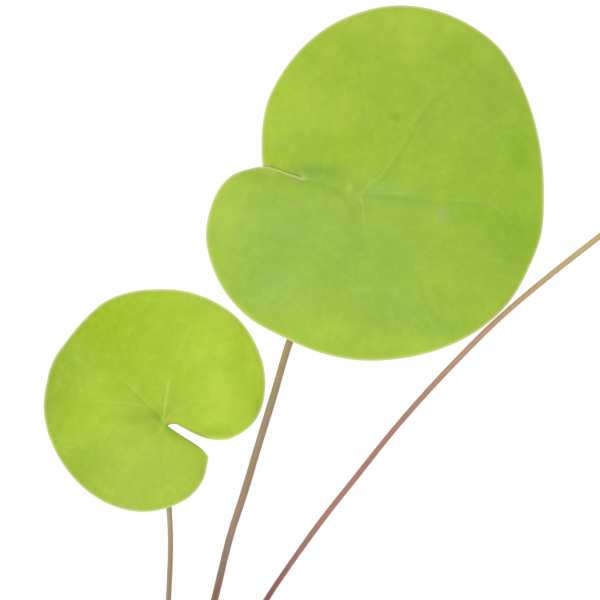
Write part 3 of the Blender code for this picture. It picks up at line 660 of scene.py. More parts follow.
def blade(leaf):
    """The blade as a closed mesh, with what its finish reads kept on its points."""
    x, y, _, _, inner_rows = leaf["grid"]
    edge = leaf["edge"]
    upper, lower, fields = leaf["faces"]
    sheets = [np.column_stack([x.ravel(), y.ravel(), heights.ravel()]) for heights in (upper, lower)]
    points = np.vstack([*sheets, margin_ring(x[edge], y[edge], (upper + lower)[edge] / 2.0)])
    points[:, :2] += leaf["foot"]

    grid = np.arange(x.size).reshape(x.shape)
    merged = grid.copy()
    merged[:, 0] = merged[0, 0]
    merged[-1, : inner_rows + 1] = merged[0, : inner_rows + 1]
    corners = [merged[:-1, :-1], merged[1:, :-1], merged[1:, 1:], merged[:-1, 1:]]
    quads = np.stack(corners, axis=-1).reshape(-1, 4)
    ring = 2 * x.size + np.arange(len(edge[0]))
    band = [np.column_stack([high, np.roll(high, -1), np.roll(low, -1), low])
            for high, low in ((merged[edge], ring), (ring, merged[edge] + x.size))]
    faces = np.vstack([quads, quads[:, ::-1] + x.size, *band])
    used = np.unique(faces)
    faces = [list(dict.fromkeys(face)) for face in np.searchsorted(used, faces).tolist()]
    mesh = closed_mesh(leaf["name"] + "_blade_fine", points[used], faces)

    grid_point = np.concatenate([grid.ravel(), grid.ravel(), grid[edge]])[used]
    for name, field in fields.items():
        keep(mesh, name, field.ravel()[grid_point])
    keep(mesh, "upper_face", np.where((used < x.size) | (used >= 2 * x.size), 1.0, 0.0))
    return add_piece(mesh, leaf["name"] + "_blade")


large_blade = blade(LARGE_LEAF)
small_blade = blade(SMALL_LEAF)

# %% [markdown]
# ## A ribbed tube
# A curve with a bevel would give a perfect pipe. A stem has ribs that wander round it, swells and thins a
# little, and shows its pith where it is cut. So each ring of points is placed in code round the route. Every
# point also keeps where it is on the stem, round it and along it, which is what the streaks of the finish
# follow.

# %% Rings along a route
RIB_TWIST, HALF_RIBS = 0.02, 0.5
SWELL, SWELL_LENGTH = 0.035, 7.0
LUMP_ROUND, LUMP_LENGTH = 1.5, 2.2
STEEP, LOWEST_STEM = 0.2, 0.02
CUT_RINGS = ((0.86, 0.10), (0.6, 0.02), (0.3, -0.06))  # share of the radius, and how far the ring stands out
BURIED_RINGS = ((0.6, 0.0),)


def side_vectors(line):
    """For each point of a line, the direction along it, a level one across it and one square to both."""
    forward = np.gradient(line, axis=0)
    forward /= np.linalg.norm(forward, axis=1)[:, None]
    level = np.column_stack([forward[:, 1], -forward[:, 0], np.zeros(len(line))])
    steep = np.linalg.norm(level, axis=1) < STEEP
    level[steep] = level[~steep][-1]
    level /= np.linalg.norm(level, axis=1)[:, None]
    return forward, level, np.cross(level, forward)


def between(near, far):
    """The faces between two rings of points."""
    count = len(near)
    return [(near[m], near[(m + 1) % count], far[(m + 1) % count], far[m]) for m in range(count)]


def tube(node, line, radii, sides, ribs, rib_depth, rough, seed, cut_ends):
    """A closed stem along a line, with ribs, swellings and a sunken pith at its cut ends."""
    forward, level, upward = side_vectors(line)
    length = lengths(line)
    angles = np.linspace(0.0, 2.0 * math.pi, sides, endpoint=False)
    points, place, faces = [], [], []
    for k, (centre, s) in enumerate(zip(line, length)):
        swell = 1.0 + SWELL * noise.noise(Vector((s / SWELL_LENGTH, seed, 0.0)))
        for angle in angles:
            across, up = math.cos(angle), math.sin(angle)
            rib = rib_depth * math.cos(ribs * angle + RIB_TWIST * s * ribs + seed)
            rib += HALF_RIBS * rib_depth * math.cos((2 * ribs + 1) * angle - RIB_TWIST * s * ribs)
            lump = noise.noise(Vector((across * LUMP_ROUND, up * LUMP_ROUND, s / LUMP_LENGTH + seed)))
            reach = radii[k] * (swell + rib + rough * lump)
            points.append(centre + reach * (across * level[k] + up * upward[k]))
            place.append((across, up, s))
    for k in range(len(line) - 1):
        faces += between(range(k * sides, (k + 1) * sides), range((k + 1) * sides, (k + 2) * sides))
    pith = [0.0] * len(points)
    for end, cut, outward in ((0, cut_ends[0], -1), (len(line) - 1, cut_ends[1], 1)):
        ring = range(end * sides, (end + 1) * sides)
        for inset, stand in CUT_RINGS if cut else BURIED_RINGS:
            fresh = range(len(points), len(points) + sides)
            for m in ring:
                outer = m % sides + end * sides
                spoke = (points[outer] - line[end]) * inset
                points.append(line[end] + spoke + forward[end] * outward * stand * radii[end])
                place.append((inset * place[outer][0], inset * place[outer][1], length[end]))
            faces += [face[::outward] for face in between(ring, fresh)]
            ring = fresh
        faces += [(*face[:2], len(points))[::outward] for face in between(ring, ring)]
        points.append(line[end])
        place.append((0.0, 0.0, length[end]))
        pith += [float(cut)] * (len(points) - len(pith))
    points, place = np.array(points), np.array(place)
    points[:, 2] = np.maximum(points[:, 2], LOWEST_STEM)
    mesh = closed_mesh(node + "_fine", points, faces)
    keep(mesh, "stem_place", place)
    keep(mesh, "stem_share", place[:, 2] / length[-1])
    keep(mesh, "pith", np.array(pith))
    return add_piece(mesh, node)


# %% [markdown]
# ## Leaf stalks and runner
# Where a stalk meets its blade it widens like a trumpet, and where it leaves the stolon it has a small
# swollen base. Both are part of the tube here: its radius grows at each end and the end itself is buried in
# what it grows from, so that no gap shows from any side. On the way up to the foot it follows a quarter arc.

# %% The two leaf stalks and the runner
STALK_RINGS, STALK_SIDES, ARC_POINTS = 420, 36, 24
STALK_RIBS, STALK_RIB_DEPTH, STALK_ROUGHNESS = 6, 0.035, 0.02
BURIED, BURIED_LIFT = 1.9, 0.1
SHORT_OF_FOOT, INTO_BLADE = 0.5, 0.2  # how far below the foot the arc ends, and how far past it the tube
BASE_SWELLING, BASE_LENGTH = 1.35, 3.0
TRUMPET_LENGTH = 1.6


def stem_line(route, taper, leaf=None, trumpet=1.0):
    """The middle line of a stem, from inside the stolon to its far end, with a radius for each point."""
    route = np.array(route, dtype=float)
    back = route[0] - route[1]
    start = route[0] + back / np.linalg.norm(back) * BURIED
    start[2] = route[0][2] + BURIED_LIFT
    line = [start, *route]
    if leaf:
        rise = leaf["foot_height"] - SHORT_OF_FOOT - taper[-1][1]
        heading = leaf["foot"] - route[-1, :2]
        heading /= np.linalg.norm(heading)
        angles = np.linspace(0.0, math.pi / 2, ARC_POINTS)
        short = rise * (1.0 - np.sin(angles))
        arc = np.column_stack([leaf["foot"] - short[:, None] * heading, rise * (1.0 - np.cos(angles))])
        end = arc[-1] + [0.0, 0.0, SHORT_OF_FOOT + INTO_BLADE]
        line = np.vstack([smooth_line([*line, arc[0]]), arc[1:], end])
    else:
        line = smooth_line(line)
    line = walk(line, np.linspace(0.0, 1.0, STALK_RINGS))
    length = lengths(line)
    radii = np.interp(length / length[-1], *np.transpose(taper))
    line[:, 2] += radii
    radii = radii * (1.0 + (BASE_SWELLING - 1.0) * fade((length - BURIED) / BASE_LENGTH))
    radii = radii * (1.0 + (trumpet - 1.0) * fade((length[-1] - length) / TRUMPET_LENGTH))
    return line, radii


STEMS = (  # node, route, radii, leaf, how far the trumpet widens, ribs, seed
    ("large_leaf_stalk", LARGE_STALK, LARGE_STALK_RADII, LARGE_LEAF, 1.6, STALK_RIBS, 1.3),
    ("small_leaf_stalk", SMALL_STALK, SMALL_STALK_RADII, SMALL_LEAF, 1.15, STALK_RIBS - 1, 4.1),
    ("runner", RUNNER, RUNNER_RADII, None, 1.0, STALK_RIBS, 7.7),
)
large_stalk, small_stalk, runner = (
    tube(node, *stem_line(route, taper, leaf, trumpet), STALK_SIDES, ribs, STALK_RIB_DEPTH, STALK_ROUGHNESS,
         seed, (False, leaf is None))
    for node, route, taper, leaf, trumpet, ribs, seed in STEMS
)

# %% [markdown]
# ## The stolon
# The stolon is the creeping stem. It is thicker and rougher than a stalk, swells where each stalk leaves it,
# and ends in two plain cuts that show a paler pith.

# %% The stub of stolon
STOLON_RINGS, STOLON_SIDES, STOLON_RIBS, STOLON_RIB_DEPTH = 220, 48, 9, 0.03
STOLON_ROUGHNESS, STOLON_SEED = 0.09, 2.9
STOLON_RADIUS, NODE_SWELLING, NODE_WIDTH = 1.55, 0.35, 1.3

line = walk(smooth_line(STOLON), np.linspace(0.0, 1.0, STOLON_RINGS))
radii = np.full(len(line), STOLON_RADIUS)
for route in (LARGE_STALK, SMALL_STALK, RUNNER):
    radii += NODE_SWELLING * bell((line[:, 0] - route[0][0]) / NODE_WIDTH)
stolon = tube("stolon", np.column_stack([line, radii]), radii, STOLON_SIDES, STOLON_RIBS, STOLON_RIB_DEPTH,
              STOLON_ROUGHNESS, STOLON_SEED, (True, True))

# %% [markdown]
# ## Finishes as expressions
# A finish is a graph of small nodes, but it is easier to think of it as a sum. This class wraps one socket,
# so that ordinary Python expressions lay the Math nodes. Any other node comes from its `node` method, which
# sets the node up first and then fills or links its sockets.

# %% A socket that can be used in sums
class Wire:
    """A socket of a finish, which ordinary expressions can use."""

    def __init__(self, tree, socket=None):
        self.tree, self.socket = tree, socket

    def node(self, kind, settings=None, sockets=None, output=0):
        """Any node: its settings come first, then the values or wires of its sockets."""
        made = self.tree.nodes.new(kind)
        for name, value in (settings or {}).items():
            if name == "stops":
                for stop in range(len(value) - len(made.color_ramp.elements)):
                    made.color_ramp.elements.new(0.5)
                for element, (position, colour) in zip(made.color_ramp.elements, value):
                    element.position = position
                    element.color = colour
            else:
                setattr(made, name, value)
        for name, value in (sockets or {}).items():
            if isinstance(value, Wire):
                self.tree.links.new(value.socket, made.inputs[name])
            else:
                made.inputs[name].default_value = value
        return Wire(self.tree, made.outputs[output] if made.outputs else None)

    def math(self, operation, *values):
        return self.node("ShaderNodeMath", {"operation": operation}, dict(enumerate(values)))

    def __add__(self, other):
        return self.math("ADD", self, other)

    def __sub__(self, other):
        return self.math("SUBTRACT", self, other)

    def __rsub__(self, other):
        return self.math("SUBTRACT", other, self)

    def __mul__(self, other):
        return self.math("MULTIPLY", self, other)

    def __truediv__(self, other):
        return self.math("DIVIDE", self, other)

    def __neg__(self):
        return self.math("MULTIPLY", self, -1.0)

    __radd__ = __add__
    __rmul__ = __mul__

    def most(self, other):
        return self.math("MAXIMUM", self, other)

    def kept(self):
        """The value, held between 0 and 1."""
        return self.math("MINIMUM", self.most(0.0), 1.0)

    def hill(self):
        """1 where the value is 0, falling off smoothly on both sides."""
        return self.math("POWER", math.e, -(self * self))

    def parts(self, kind="ShaderNodeSeparateXYZ"):
        return [self.node(kind, {}, {0: self}, output) for output in range(3)]

    def joined(self, *values):
        return self.node("ShaderNodeCombineXYZ", {}, dict(enumerate(values)))


# %% [markdown]
# ## Words for a finish
# A few short functions say what a finish does: read what the mesh keeps, mix one colour over another, lighten
# it, scatter soft clouds over it, and add up several fields by their shares.

# %% Small functions over the wires
INDEX_OF_REFRACTION = 1.42


def srgb(red, green, blue):
    """A colour as it is on a screen, from 0 to 255, in the linear form that a shader wants."""
    levels = np.array((red, green, blue)) / 255.0
    linear = np.where(levels <= 0.04045, levels / 12.92, ((levels + 0.055) / 1.055) ** 2.4)
    return (*linear.tolist(), 1.0)


def mixed(amount, below, above):
    """One colour over another."""
    return amount.node("ShaderNodeMix", {"data_type": "RGBA"}, {0: amount, 6: below, 7: above}, 2)


def brightened(colour, factor):
    """A colour made lighter or darker by a factor that may change over the surface."""
    grey = factor.node("ShaderNodeCombineColor", {}, {0: factor, 1: factor, 2: factor})
    return factor.node("ShaderNodeMix", {"data_type": "RGBA", "blend_type": "MULTIPLY"},
                       {0: 1.0, 6: colour, 7: grey}, 2)


def stored(wire, name, output=2):
    """A number, or with output 1 a vector, that the mesh keeps on its points."""
    return wire.node("ShaderNodeAttribute", {"attribute_name": name}, {}, output)


def measured_from(wire, x=0.0, y=0.0):
    """Where a spot is, in millimetres from a point on the surface."""
    here = wire.node("ShaderNodeTexCoord", {}, {}, 3)
    offset = wire.node("ShaderNodeVectorMath", {"operation": "SUBTRACT"}, {0: here, 1: (x * MM, y * MM, 0.0)})
    return wire.node("ShaderNodeVectorMath", {"operation": "SCALE"}, {0: offset, "Scale": 1.0 / MM})


def cloud(place, size=1.0, detail=2.0, distortion=0.0):
    """Soft noise from about -1 to 1, whose clouds are about that many millimetres across."""
    sockets = {"Vector": place, "Scale": 1.0 / size, "Detail": detail, "Distortion": distortion}
    return place.node("ShaderNodeTexNoise", {}, sockets) * 2.0 - 1.0


def summed(fields, shares):
    """The named fields added up, each by its share."""
    terms = [fields[name] * share for name, share in shares.items()]
    return sum(terms[1:], terms[0])


def new_finish(name, piece):
    """A bare material on a piece, and a wire to build it with."""
    material = bpy.data.materials.new(name)
    material.use_nodes = True
    material.node_tree.nodes.clear()
    piece.data.materials.append(material)
    return Wire(material.node_tree)


def close_finish(piece, colour, roughness, height, relief, specular):
    """The last nodes of a finish, from its colour, roughness and fine relief in millimetres."""
    bump = colour.node("ShaderNodeBump", {}, {"Strength": 1.0, "Distance": relief * MM, "Height": height})
    shader = colour.node("ShaderNodeBsdfPrincipled", {}, {
        "Base Color": colour, "Roughness": roughness, "Normal": bump, "IOR": INDEX_OF_REFRACTION,
        "Specular IOR Level": specular,
    })
    colour.node("ShaderNodeOutputMaterial", {}, {"Surface": shader})
    print(piece.name, "finish has", len(colour.tree.nodes), "nodes")


print("a middle grey as a shader wants it:", round(srgb(128, 128, 128)[0], 3))

# %% [markdown]
# ## Veins in the finish
# A vein could be painted along the mesh's edges, but then it would be as coarse as the mesh. Here the finish
# works in polar terms. For each vein one ramp holds, at each distance from the foot, the bearing where the
# vein runs, how pale it is and how dark the painted shade on its shaded side is. The distance aside from that
# bearing then draws a line of any fineness, with the painted shade set off to the side turned from the light.

# %% Vein lines by distance and bearing
VEIN_REACH, VEIN_STOPS, VEIN_ENDING = 60.0, 20, 0.008
LINE_WIDTH, LINE_SPREAD = 0.3, 0.005
# the painted shade beside a vein is set off to the side turned from the light, which stands to the lower left
SHADE_SIDE, SHADE_OFFSET, SHADE_WIDTH, LEAST_SHADE = 135.0, 1.5, 1.8, 0.05
BEARING_SPAN = 4.0 * math.pi


def vein_stops(course):
    """A ramp's stops for a vein: its bearing as red, paleness as green and darkness as blue."""
    stops = []
    for distance in np.linspace(course[0, 0], course[-1, 0], VEIN_STOPS):
        bearing, pale, dark = (np.interp(distance, course[:, 0], column) for column in course.T[1:])
        stops.append((distance / VEIN_REACH, (bearing / BEARING_SPAN + 0.5, pale, dark, 1.0)))
    first, last = stops[0], stops[-1]
    before = (max(first[0] - VEIN_ENDING, 0.0), (first[1][0], 0.0, 0.0, 1.0))
    after = (min(last[0] + VEIN_ENDING, 1.0), (last[1][0], 0.0, 0.0, 1.0))
    return [before, *stops, after]


def vein_lines(leaf, distance, bearing):
    """How pale the veins make each spot, and how dark the painted shade beside them makes it."""
    pale = dark = None
    width = LINE_WIDTH + distance * LINE_SPREAD
    for number, course in enumerate(leaf["courses"]):
        stops = {"stops": vein_stops(course)}
        ramp = distance.node("ShaderNodeValToRGB", stops, {"Fac": distance / VEIN_REACH})
        run, paleness, darkness = ramp.parts("ShaderNodeSeparateColor")
        turn = bearing - (run - 0.5) * BEARING_SPAN
        aside = distance.math("SINE", turn * 0.5) * distance * 2.0 / width
        light = aside.hill() * paleness
        pale = light if pale is None else pale.most(light)
        # painted shade on the side of the vein turned from the light
        if course[:, 3].max() > LEAST_SHADE:
            heading = course[len(course) // 3, 1]
            offset = SHADE_OFFSET * math.cos(math.radians(SHADE_SIDE) - heading)
            shade = ((aside - offset) / leaf["shade_widths"].get(number, SHADE_WIDTH)).hill() * darkness
            dark = shade if dark is None else dark.most(shade)
    return pale, dark


for leaf in (LARGE_LEAF, SMALL_LEAF):
    print(leaf["name"], "longest vein:", round(max(course[-1, 0] for course in leaf["courses"]), 1), "mm")

# %% [markdown]
# ## Greens
# All tones are mixed from the same few greens, and each leaf has its own set, because the young small leaf
# is yellower. The margin's colours are shared: it is pale, tanned in places, darker with painted shade along
# one edge of the open notch, and a darker olive along the other.

# %% Greens of the two leaves
# the notch's dark green is painted shade, the lip's pale yellow a painted highlight, and the margin's cream
# partly painted light through the thin edge
MARGIN_COLOURS = {
    "margin": srgb(252, 248, 200), "tan_margin": srgb(250, 230, 172), "dusk": srgb(112, 128, 72),
    "worn": srgb(156, 156, 72), "warm_rim": srgb(222, 200, 92), "dull_rim": srgb(120, 128, 52),
}
# of the greens, the shade green is painted shade, glow painted light, the dark vein green painted shade, the
# pale vein green partly a painted highlight, cool and deep partly painted shade and sunny partly painted
# light
LARGE_GREENS = MARGIN_COLOURS | {
    "body": srgb(156, 191, 56), "sunny": srgb(184, 213, 74), "cool": srgb(138, 176, 66),
    "deep": srgb(138, 182, 34), "milky": srgb(158, 191, 92), "rich": srgb(158, 192, 38),
    "dull": srgb(168, 194, 110), "shade": srgb(124, 162, 58), "blush": srgb(182, 184, 106),
    "glow": srgb(205, 222, 120), "pale_vein": srgb(190, 216, 96), "dark_vein": srgb(112, 162, 60),
    "lip": srgb(228, 248, 146), "underside": srgb(172, 194, 112), "underside_vein": srgb(196, 208, 146),
}
SMALL_GREENS = MARGIN_COLOURS | {
    "body": srgb(167, 199, 52), "sunny": srgb(196, 224, 78), "cool": srgb(151, 182, 56),
    "deep": srgb(152, 190, 30), "milky": srgb(171, 195, 85), "rich": srgb(168, 201, 26),
    "dull": srgb(166, 186, 98), "shade": srgb(135, 168, 44), "blush": srgb(200, 194, 74),
    "glow": srgb(214, 232, 120), "pale_vein": srgb(204, 232, 98), "dark_vein": srgb(124, 166, 44),
    "lip": srgb(226, 240, 130), "underside": srgb(180, 200, 112), "underside_vein": srgb(202, 212, 148),
}
print("shades of green:", len(LARGE_GREENS), "and", len(SMALL_GREENS))

# %% [markdown]
# ## The blade's finish
# The upper face is matte and soft, like thin kid leather, with a fine net of veinlets and a faint mottling.
# The underside is paler and duller. The margin is a thin pale line, where the blade thins to nothing: partly
# its own paler colour and partly painted light shining through the thin edge. A lobe's lip carries a painted
# highlight, and painted shade lies along the notch. Each cloud below has a size in millimetres, a detail and,
# where it curls, a distortion. Each sum says how much of every field goes into a quality.

# %% The finish of a blade
LEAF_CLOUDS = {"mottle": (7.0, 3.0, 0.4), "blotch": (2.8, 4.0, 0.8), "grain": (0.55, 2.0),
               "drift": (16.0, 2.0), "speck": (1.3, 3.0), "tan": (9.0, 1.0)}
LEAF_SUMS = {
    "patchy": {"blotch": 0.7, "mottle": 0.5, "streak": 0.15},
    "light": {"mottle": 0.04, "blotch": 0.04, "streak": 0.01, "grain": 0.045},
    "light_below": {"mottle": 0.05, "grain": 0.03},
    "roughness": {"mottle": 0.04, "grain": 0.03, "pale": -0.05},
    "relief": {"grain": 0.4, "net": 0.25, "pale": -0.5, "mottle": 0.4},
}
SUN_SPREAD, SUN_LEVEL, SUN_SHARE = 0.5, 0.35, 0.35
VEIN_SHADE_SHARE, PALE_VEIN_HIGHLIGHT_SHARE, NET_SHARE = 0.45, 0.52, 0.05
PATCHY_SHARE, RICH_SPECK_SHARE, MILKY_SPECK_SHARE = 0.35, 0.28, 0.2
VEINS_BELOW_SHARE, NET_BELOW_SHARE = 0.8, 0.22
# the pale margin, partly painted light through the thin edge, and the lip's painted highlight
MARGIN_STRENGTH, MARGIN_WIDTH, LIP_HIGHLIGHT_STRENGTH = 0.42, 0.45, 0.5
TAN_SPREAD, TAN_LEVEL, TAN_SHARE = 0.9, 0.3, 0.7
# painted shade along the small leaf's notch edge, which faces away from the light
NOTCH_SHADE_STRENGTH, NOTCH_SHADE_WIDTH = 0.75, 0.25
OLIVE_BAND_STRENGTH, OLIVE_BAND_WIDTH = 0.7, 0.6
TINT_STRENGTH, TINT_WIDTH, DULL_GAIN = 0.14, 1.3, 1.6
NET_AROUND, NET_OUTWARD, NET_FINENESS, NET_START, NET_RISE = 13.0, 8.0, 9.0, 4.0, 14.0
NET_BEND, NET_BEND_SCALE = 0.06, 0.35
FAN_AROUND, FAN_OUTWARD, FAN_START, FAN_RISE = 18.0, 2.2, 3.0, 12.0
CENTRE = 0.4
LEAF_ROUGHNESS, LEAF_RELIEF, LEAF_SPECULAR = 0.58, 0.04, 0.2


def leaf_fields(wire, leaf):
    """Everything that varies over a blade and comes from where a spot is: clouds, net, streaks and veins."""
    place = measured_from(wire, *leaf["foot"])
    x, y, _ = place.parts()
    squares = x * x + y * y
    distance = wire.math("SQRT", squares)
    bearing = wire.math("ARCTAN2", y, x)
    spread = wire.math("LOGARITHM", distance.most(CENTRE), math.e)
    cosine, sine = wire.math("COSINE", bearing), wire.math("SINE", bearing)
    fields = {name: cloud(place, *numbers) for name, numbers in LEAF_CLOUDS.items()}
    fields["pale"], fields["dark"] = vein_lines(leaf, distance, bearing)

    polar = wire.joined(cosine * NET_AROUND, sine * NET_AROUND, spread * NET_OUTWARD)
    bend = wire.node("ShaderNodeTexNoise", {}, {"Vector": place, "Scale": NET_BEND_SCALE, "Detail": 2.0}, 1)
    bent = wire.node("ShaderNodeMix", {"data_type": "VECTOR"}, {0: NET_BEND, 4: polar, 5: bend}, 1)
    cells = wire.node("ShaderNodeTexVoronoi", {"feature": "DISTANCE_TO_EDGE"}, {"Vector": bent, "Scale": 1.0})
    fields["net"] = (cells * NET_FINENESS).hill() * ((distance - NET_START) / NET_RISE).kept()
    fan = wire.joined(cosine * FAN_AROUND, sine * FAN_AROUND, spread * FAN_OUTWARD)
    fields["streak"] = cloud(fan) * ((distance - FAN_START) / FAN_RISE).kept()
    return fields


def layered(colour, layers, greens):
    """A colour with others laid over it, one after another, each by its own amount."""
    for amount, name in layers:
        colour = mixed(amount, colour, greens[name])
    return colour


def leaf_finish(name, leaf, greens, piece):
    """The finish of one blade, over its own veins and patches."""
    wire = new_finish(name, piece)
    fields = leaf_fields(wire, leaf)
    pale, dark, net, speck = (fields[field] for field in ("pale", "dark", "net", "speck"))
    patchy = summed(fields, LEAF_SUMS["patchy"])
    green = layered(greens["body"], (
        ((fields["drift"] * SUN_SPREAD + SUN_LEVEL).kept() * SUN_SHARE, "sunny"),
        # the patches of tone, several of them painted light and painted shade
        *((stored(wire, kind).kept(), kind) for kind in TONES),
        # painted shade beside the veins, and pale veins that are partly painted highlight
        (dark * VEIN_SHADE_SHARE, "dark_vein"), (pale * PALE_VEIN_HIGHLIGHT_SHARE, "pale_vein"),
        (net * NET_SHARE, "pale_vein"),
        (patchy.kept() * PATCHY_SHARE, "sunny"), ((-patchy).kept() * PATCHY_SHARE, "cool"),
        (speck.kept() * RICH_SPECK_SHARE, "rich"), ((-speck).kept() * MILKY_SPECK_SHARE, "milky"),
    ), greens)
    green = brightened(green, summed(fields, LEAF_SUMS["light"]) + 1.0)

    # the pale margin is partly painted light through the thin edge, the lip a painted highlight, and painted
    # shade runs along the notch
    to_edge, glow, lip, dusk, worn = (
        stored(wire, kept) for kept in ("margin", "edge_glow", "lip", "dusk", "worn"))
    tint = stored(wire, "rim_tint") * (to_edge / TINT_WIDTH).hill() * glow * TINT_STRENGTH
    green = layered(green, ((tint.kept(), "warm_rim"), ((-tint).kept() * DULL_GAIN, "dull_rim")), greens)
    tanned = (fields["tan"] * TAN_SPREAD + TAN_LEVEL).kept() * TAN_SHARE
    pale_margin = mixed(lip, mixed(tanned, greens["margin"], greens["tan_margin"]), greens["lip"])
    margin = (to_edge / MARGIN_WIDTH).hill() * glow * (1.0 - dusk.most(worn))
    green = mixed(margin * (lip * LIP_HIGHLIGHT_STRENGTH + MARGIN_STRENGTH).kept(), green, pale_margin)
    # painted shade along one edge of the notch, and a darker olive band along the other
    green = layered(green, (
        ((to_edge / NOTCH_SHADE_WIDTH).hill() * dusk * NOTCH_SHADE_STRENGTH, "dusk"),
        ((to_edge / OLIVE_BAND_WIDTH).hill() * worn * OLIVE_BAND_STRENGTH, "worn"),
    ), greens)

    veins_below = (pale.most(dark) * VEINS_BELOW_SHARE + net * NET_BELOW_SHARE).kept()
    below = mixed(veins_below, greens["underside"], greens["underside_vein"])
    below = brightened(below, summed(fields, LEAF_SUMS["light_below"]) + 1.0)
    colour = mixed(stored(wire, "upper_face").kept(), below, green)
    close_finish(piece, colour, summed(fields, LEAF_SUMS["roughness"]) + LEAF_ROUGHNESS,
                 summed(fields, LEAF_SUMS["relief"]), LEAF_RELIEF, LEAF_SPECULAR)


leaf_finish("large_leaf_green", LARGE_LEAF, LARGE_GREENS, large_blade)
leaf_finish("small_leaf_green", SMALL_LEAF, SMALL_GREENS, small_blade)

# %% [markdown]
# ## Stalk finishes
# The stalks aren't one brown. Each changes colour along its length, from a greyed rose or olive near the
# stolon to a golden tan further out, and a warmer band runs along its top between greyer sides. Fine streaks
# run lengthwise. One function makes all three, from a few colours and where they come.

# %% Stalks that change colour along their length
STREAK_WIDTH, STREAK_LENGTH, STREAK_SIZE, STREAK_DETAIL = 0.09, 6.0, 1.0 / 0.35, 3.0
PATCH_ROUND, PATCH_LENGTH = 1.2, 3.5
STALK_GRAIN, PITH_GRAIN = 0.22, 0.2
STALK_SUMS = {
    "light": {"streak": 0.2, "patch": 0.14, "grain": 0.08},
    "roughness": {"streak": 0.08, "grain": 0.05},
    "relief": {"streak": 0.7, "grain": 0.35, "patch": 0.2},
}
BAND_SHIFT, BAND_HALF, BAND_BLUR, BAND_FRAY = 0.12, 0.35, 0.5, 0.25
SIDE_GREY, SIDE_SHARE, WARM_SHARE = 0.62, 0.85, 0.6
STALK_ROUGH_LEVEL, STALK_RELIEF, STEM_SPECULAR = 0.52, 0.06, 0.3


def pithy(wire, skin, pith, grain):
    """A stem's skin, with pith where the stem is cut."""
    return mixed(stored(wire, "pith").kept(), skin, brightened(srgb(*pith), grain * PITH_GRAIN + 1.0))


def stalk_finish(name, piece, along, sides, warm, pith):
    """A stem's finish: colours along its top, the tint of its sides, its warm streaks and its cut pith."""
    wire = new_finish(name, piece)
    across, up, run = stored(wire, "stem_place", 1).parts()
    stops = [(stop, srgb(*tint)) for stop, tint in along]
    top = wire.node("ShaderNodeValToRGB", {"stops": stops}, {"Fac": stored(wire, "stem_share")})
    lined = wire.joined(across / STREAK_WIDTH, up / STREAK_WIDTH, run / STREAK_LENGTH)
    fields = {
        "streak": cloud(lined, STREAK_SIZE, STREAK_DETAIL),
        "patch": cloud(wire.joined(across * PATCH_ROUND, up * PATCH_ROUND, run / PATCH_LENGTH)),
        "grain": cloud(measured_from(wire), STALK_GRAIN),
    }
    streak = fields["streak"]
    side = wire.node("ShaderNodeMix", {"data_type": "RGBA"}, {0: SIDE_GREY, 6: top, 7: srgb(*sides)}, 2)
    from_top = (wire.math("ABSOLUTE", across + BAND_SHIFT) - BAND_HALF) / BAND_BLUR
    colour = mixed((from_top + streak * BAND_FRAY).kept() * SIDE_SHARE, top, side)
    colour = mixed(streak.kept() * WARM_SHARE, colour, srgb(*warm))
    colour = brightened(colour, summed(fields, STALK_SUMS["light"]) + 1.0)
    close_finish(piece, pithy(wire, colour, pith, fields["grain"]),
                 summed(fields, STALK_SUMS["roughness"]) + STALK_ROUGH_LEVEL,
                 summed(fields, STALK_SUMS["relief"]), STALK_RELIEF, STEM_SPECULAR)


stalk_finish("large_stalk_olive", large_stalk,
             ((0.0, (122, 84, 70)), (0.2, (124, 90, 76)), (0.3, (129, 99, 84)), (0.37, (150, 122, 106)),
              (0.43, (162, 134, 112)), (0.5, (164, 136, 102)), (0.57, (168, 146, 116)),
              (0.64, (165, 146, 102)), (0.7, (174, 150, 100)), (0.9, (172, 156, 102)),
              (1.0, (176, 178, 104))),
             (156, 138, 126), (188, 148, 92), (206, 190, 140))
stalk_finish("small_stalk_olive", small_stalk,
             ((0.0, (126, 88, 72)), (0.2, (146, 110, 90)), (0.5, (160, 134, 112)), (0.62, (162, 144, 112)),
              (0.7, (172, 154, 120)), (0.85, (182, 170, 126)), (1.0, (182, 184, 108))),
             (164, 144, 124), (190, 156, 112), (206, 190, 140))
stalk_finish("runner_red", runner,
             ((0.0, (126, 70, 66)), (0.2, (130, 76, 76)), (0.3, (140, 88, 89)), (0.36, (157, 114, 108)),
              (0.43, (174, 124, 111)), (0.57, (174, 130, 111)), (0.64, (178, 139, 113)),
              (0.72, (189, 151, 122)), (0.87, (199, 169, 119)), (0.93, (200, 180, 124)),
              (1.0, (200, 180, 112))),
             (176, 140, 122), (204, 148, 110), (214, 200, 150))

# %% [markdown]
# ## The stolon's finish
# The stolon grows among moss and litter, so it is the brownest and roughest part: a red-brown skin with
# darker creases and corky flecks, and pale pith where it was cut.

# %% Skin and flecks of the stolon
CREASE_ROUND, CREASE_LENGTH, CREASE_DETAIL = 7.0, 1.6, 4.0
FLECK_SCALE, FLECK_SIZE, FLECK_SHARPNESS = 1.1, 0.34, 7.0
BLOTCH_SPREAD, BLOTCH_LEVEL = 0.8, 0.5
CREASE_SPREAD, CREASE_LEVEL, CREASE_SHARE, CORK_SHARE, SKIN_GRAIN = 1.4, 0.1, 0.6, 0.7, 0.12
SKIN_CLOUDS = {"grain": (0.25,), "blotch": (3.0, 3.0, 0.5)}
SKIN_SUMS = {
    "roughness": {"grain": 0.08, "cork": -0.1},
    "relief": {"grain": 0.4, "crease": -0.8, "cork": 0.5},
}
SKIN_ROUGH_LEVEL, SKIN_RELIEF = 0.62, 0.12

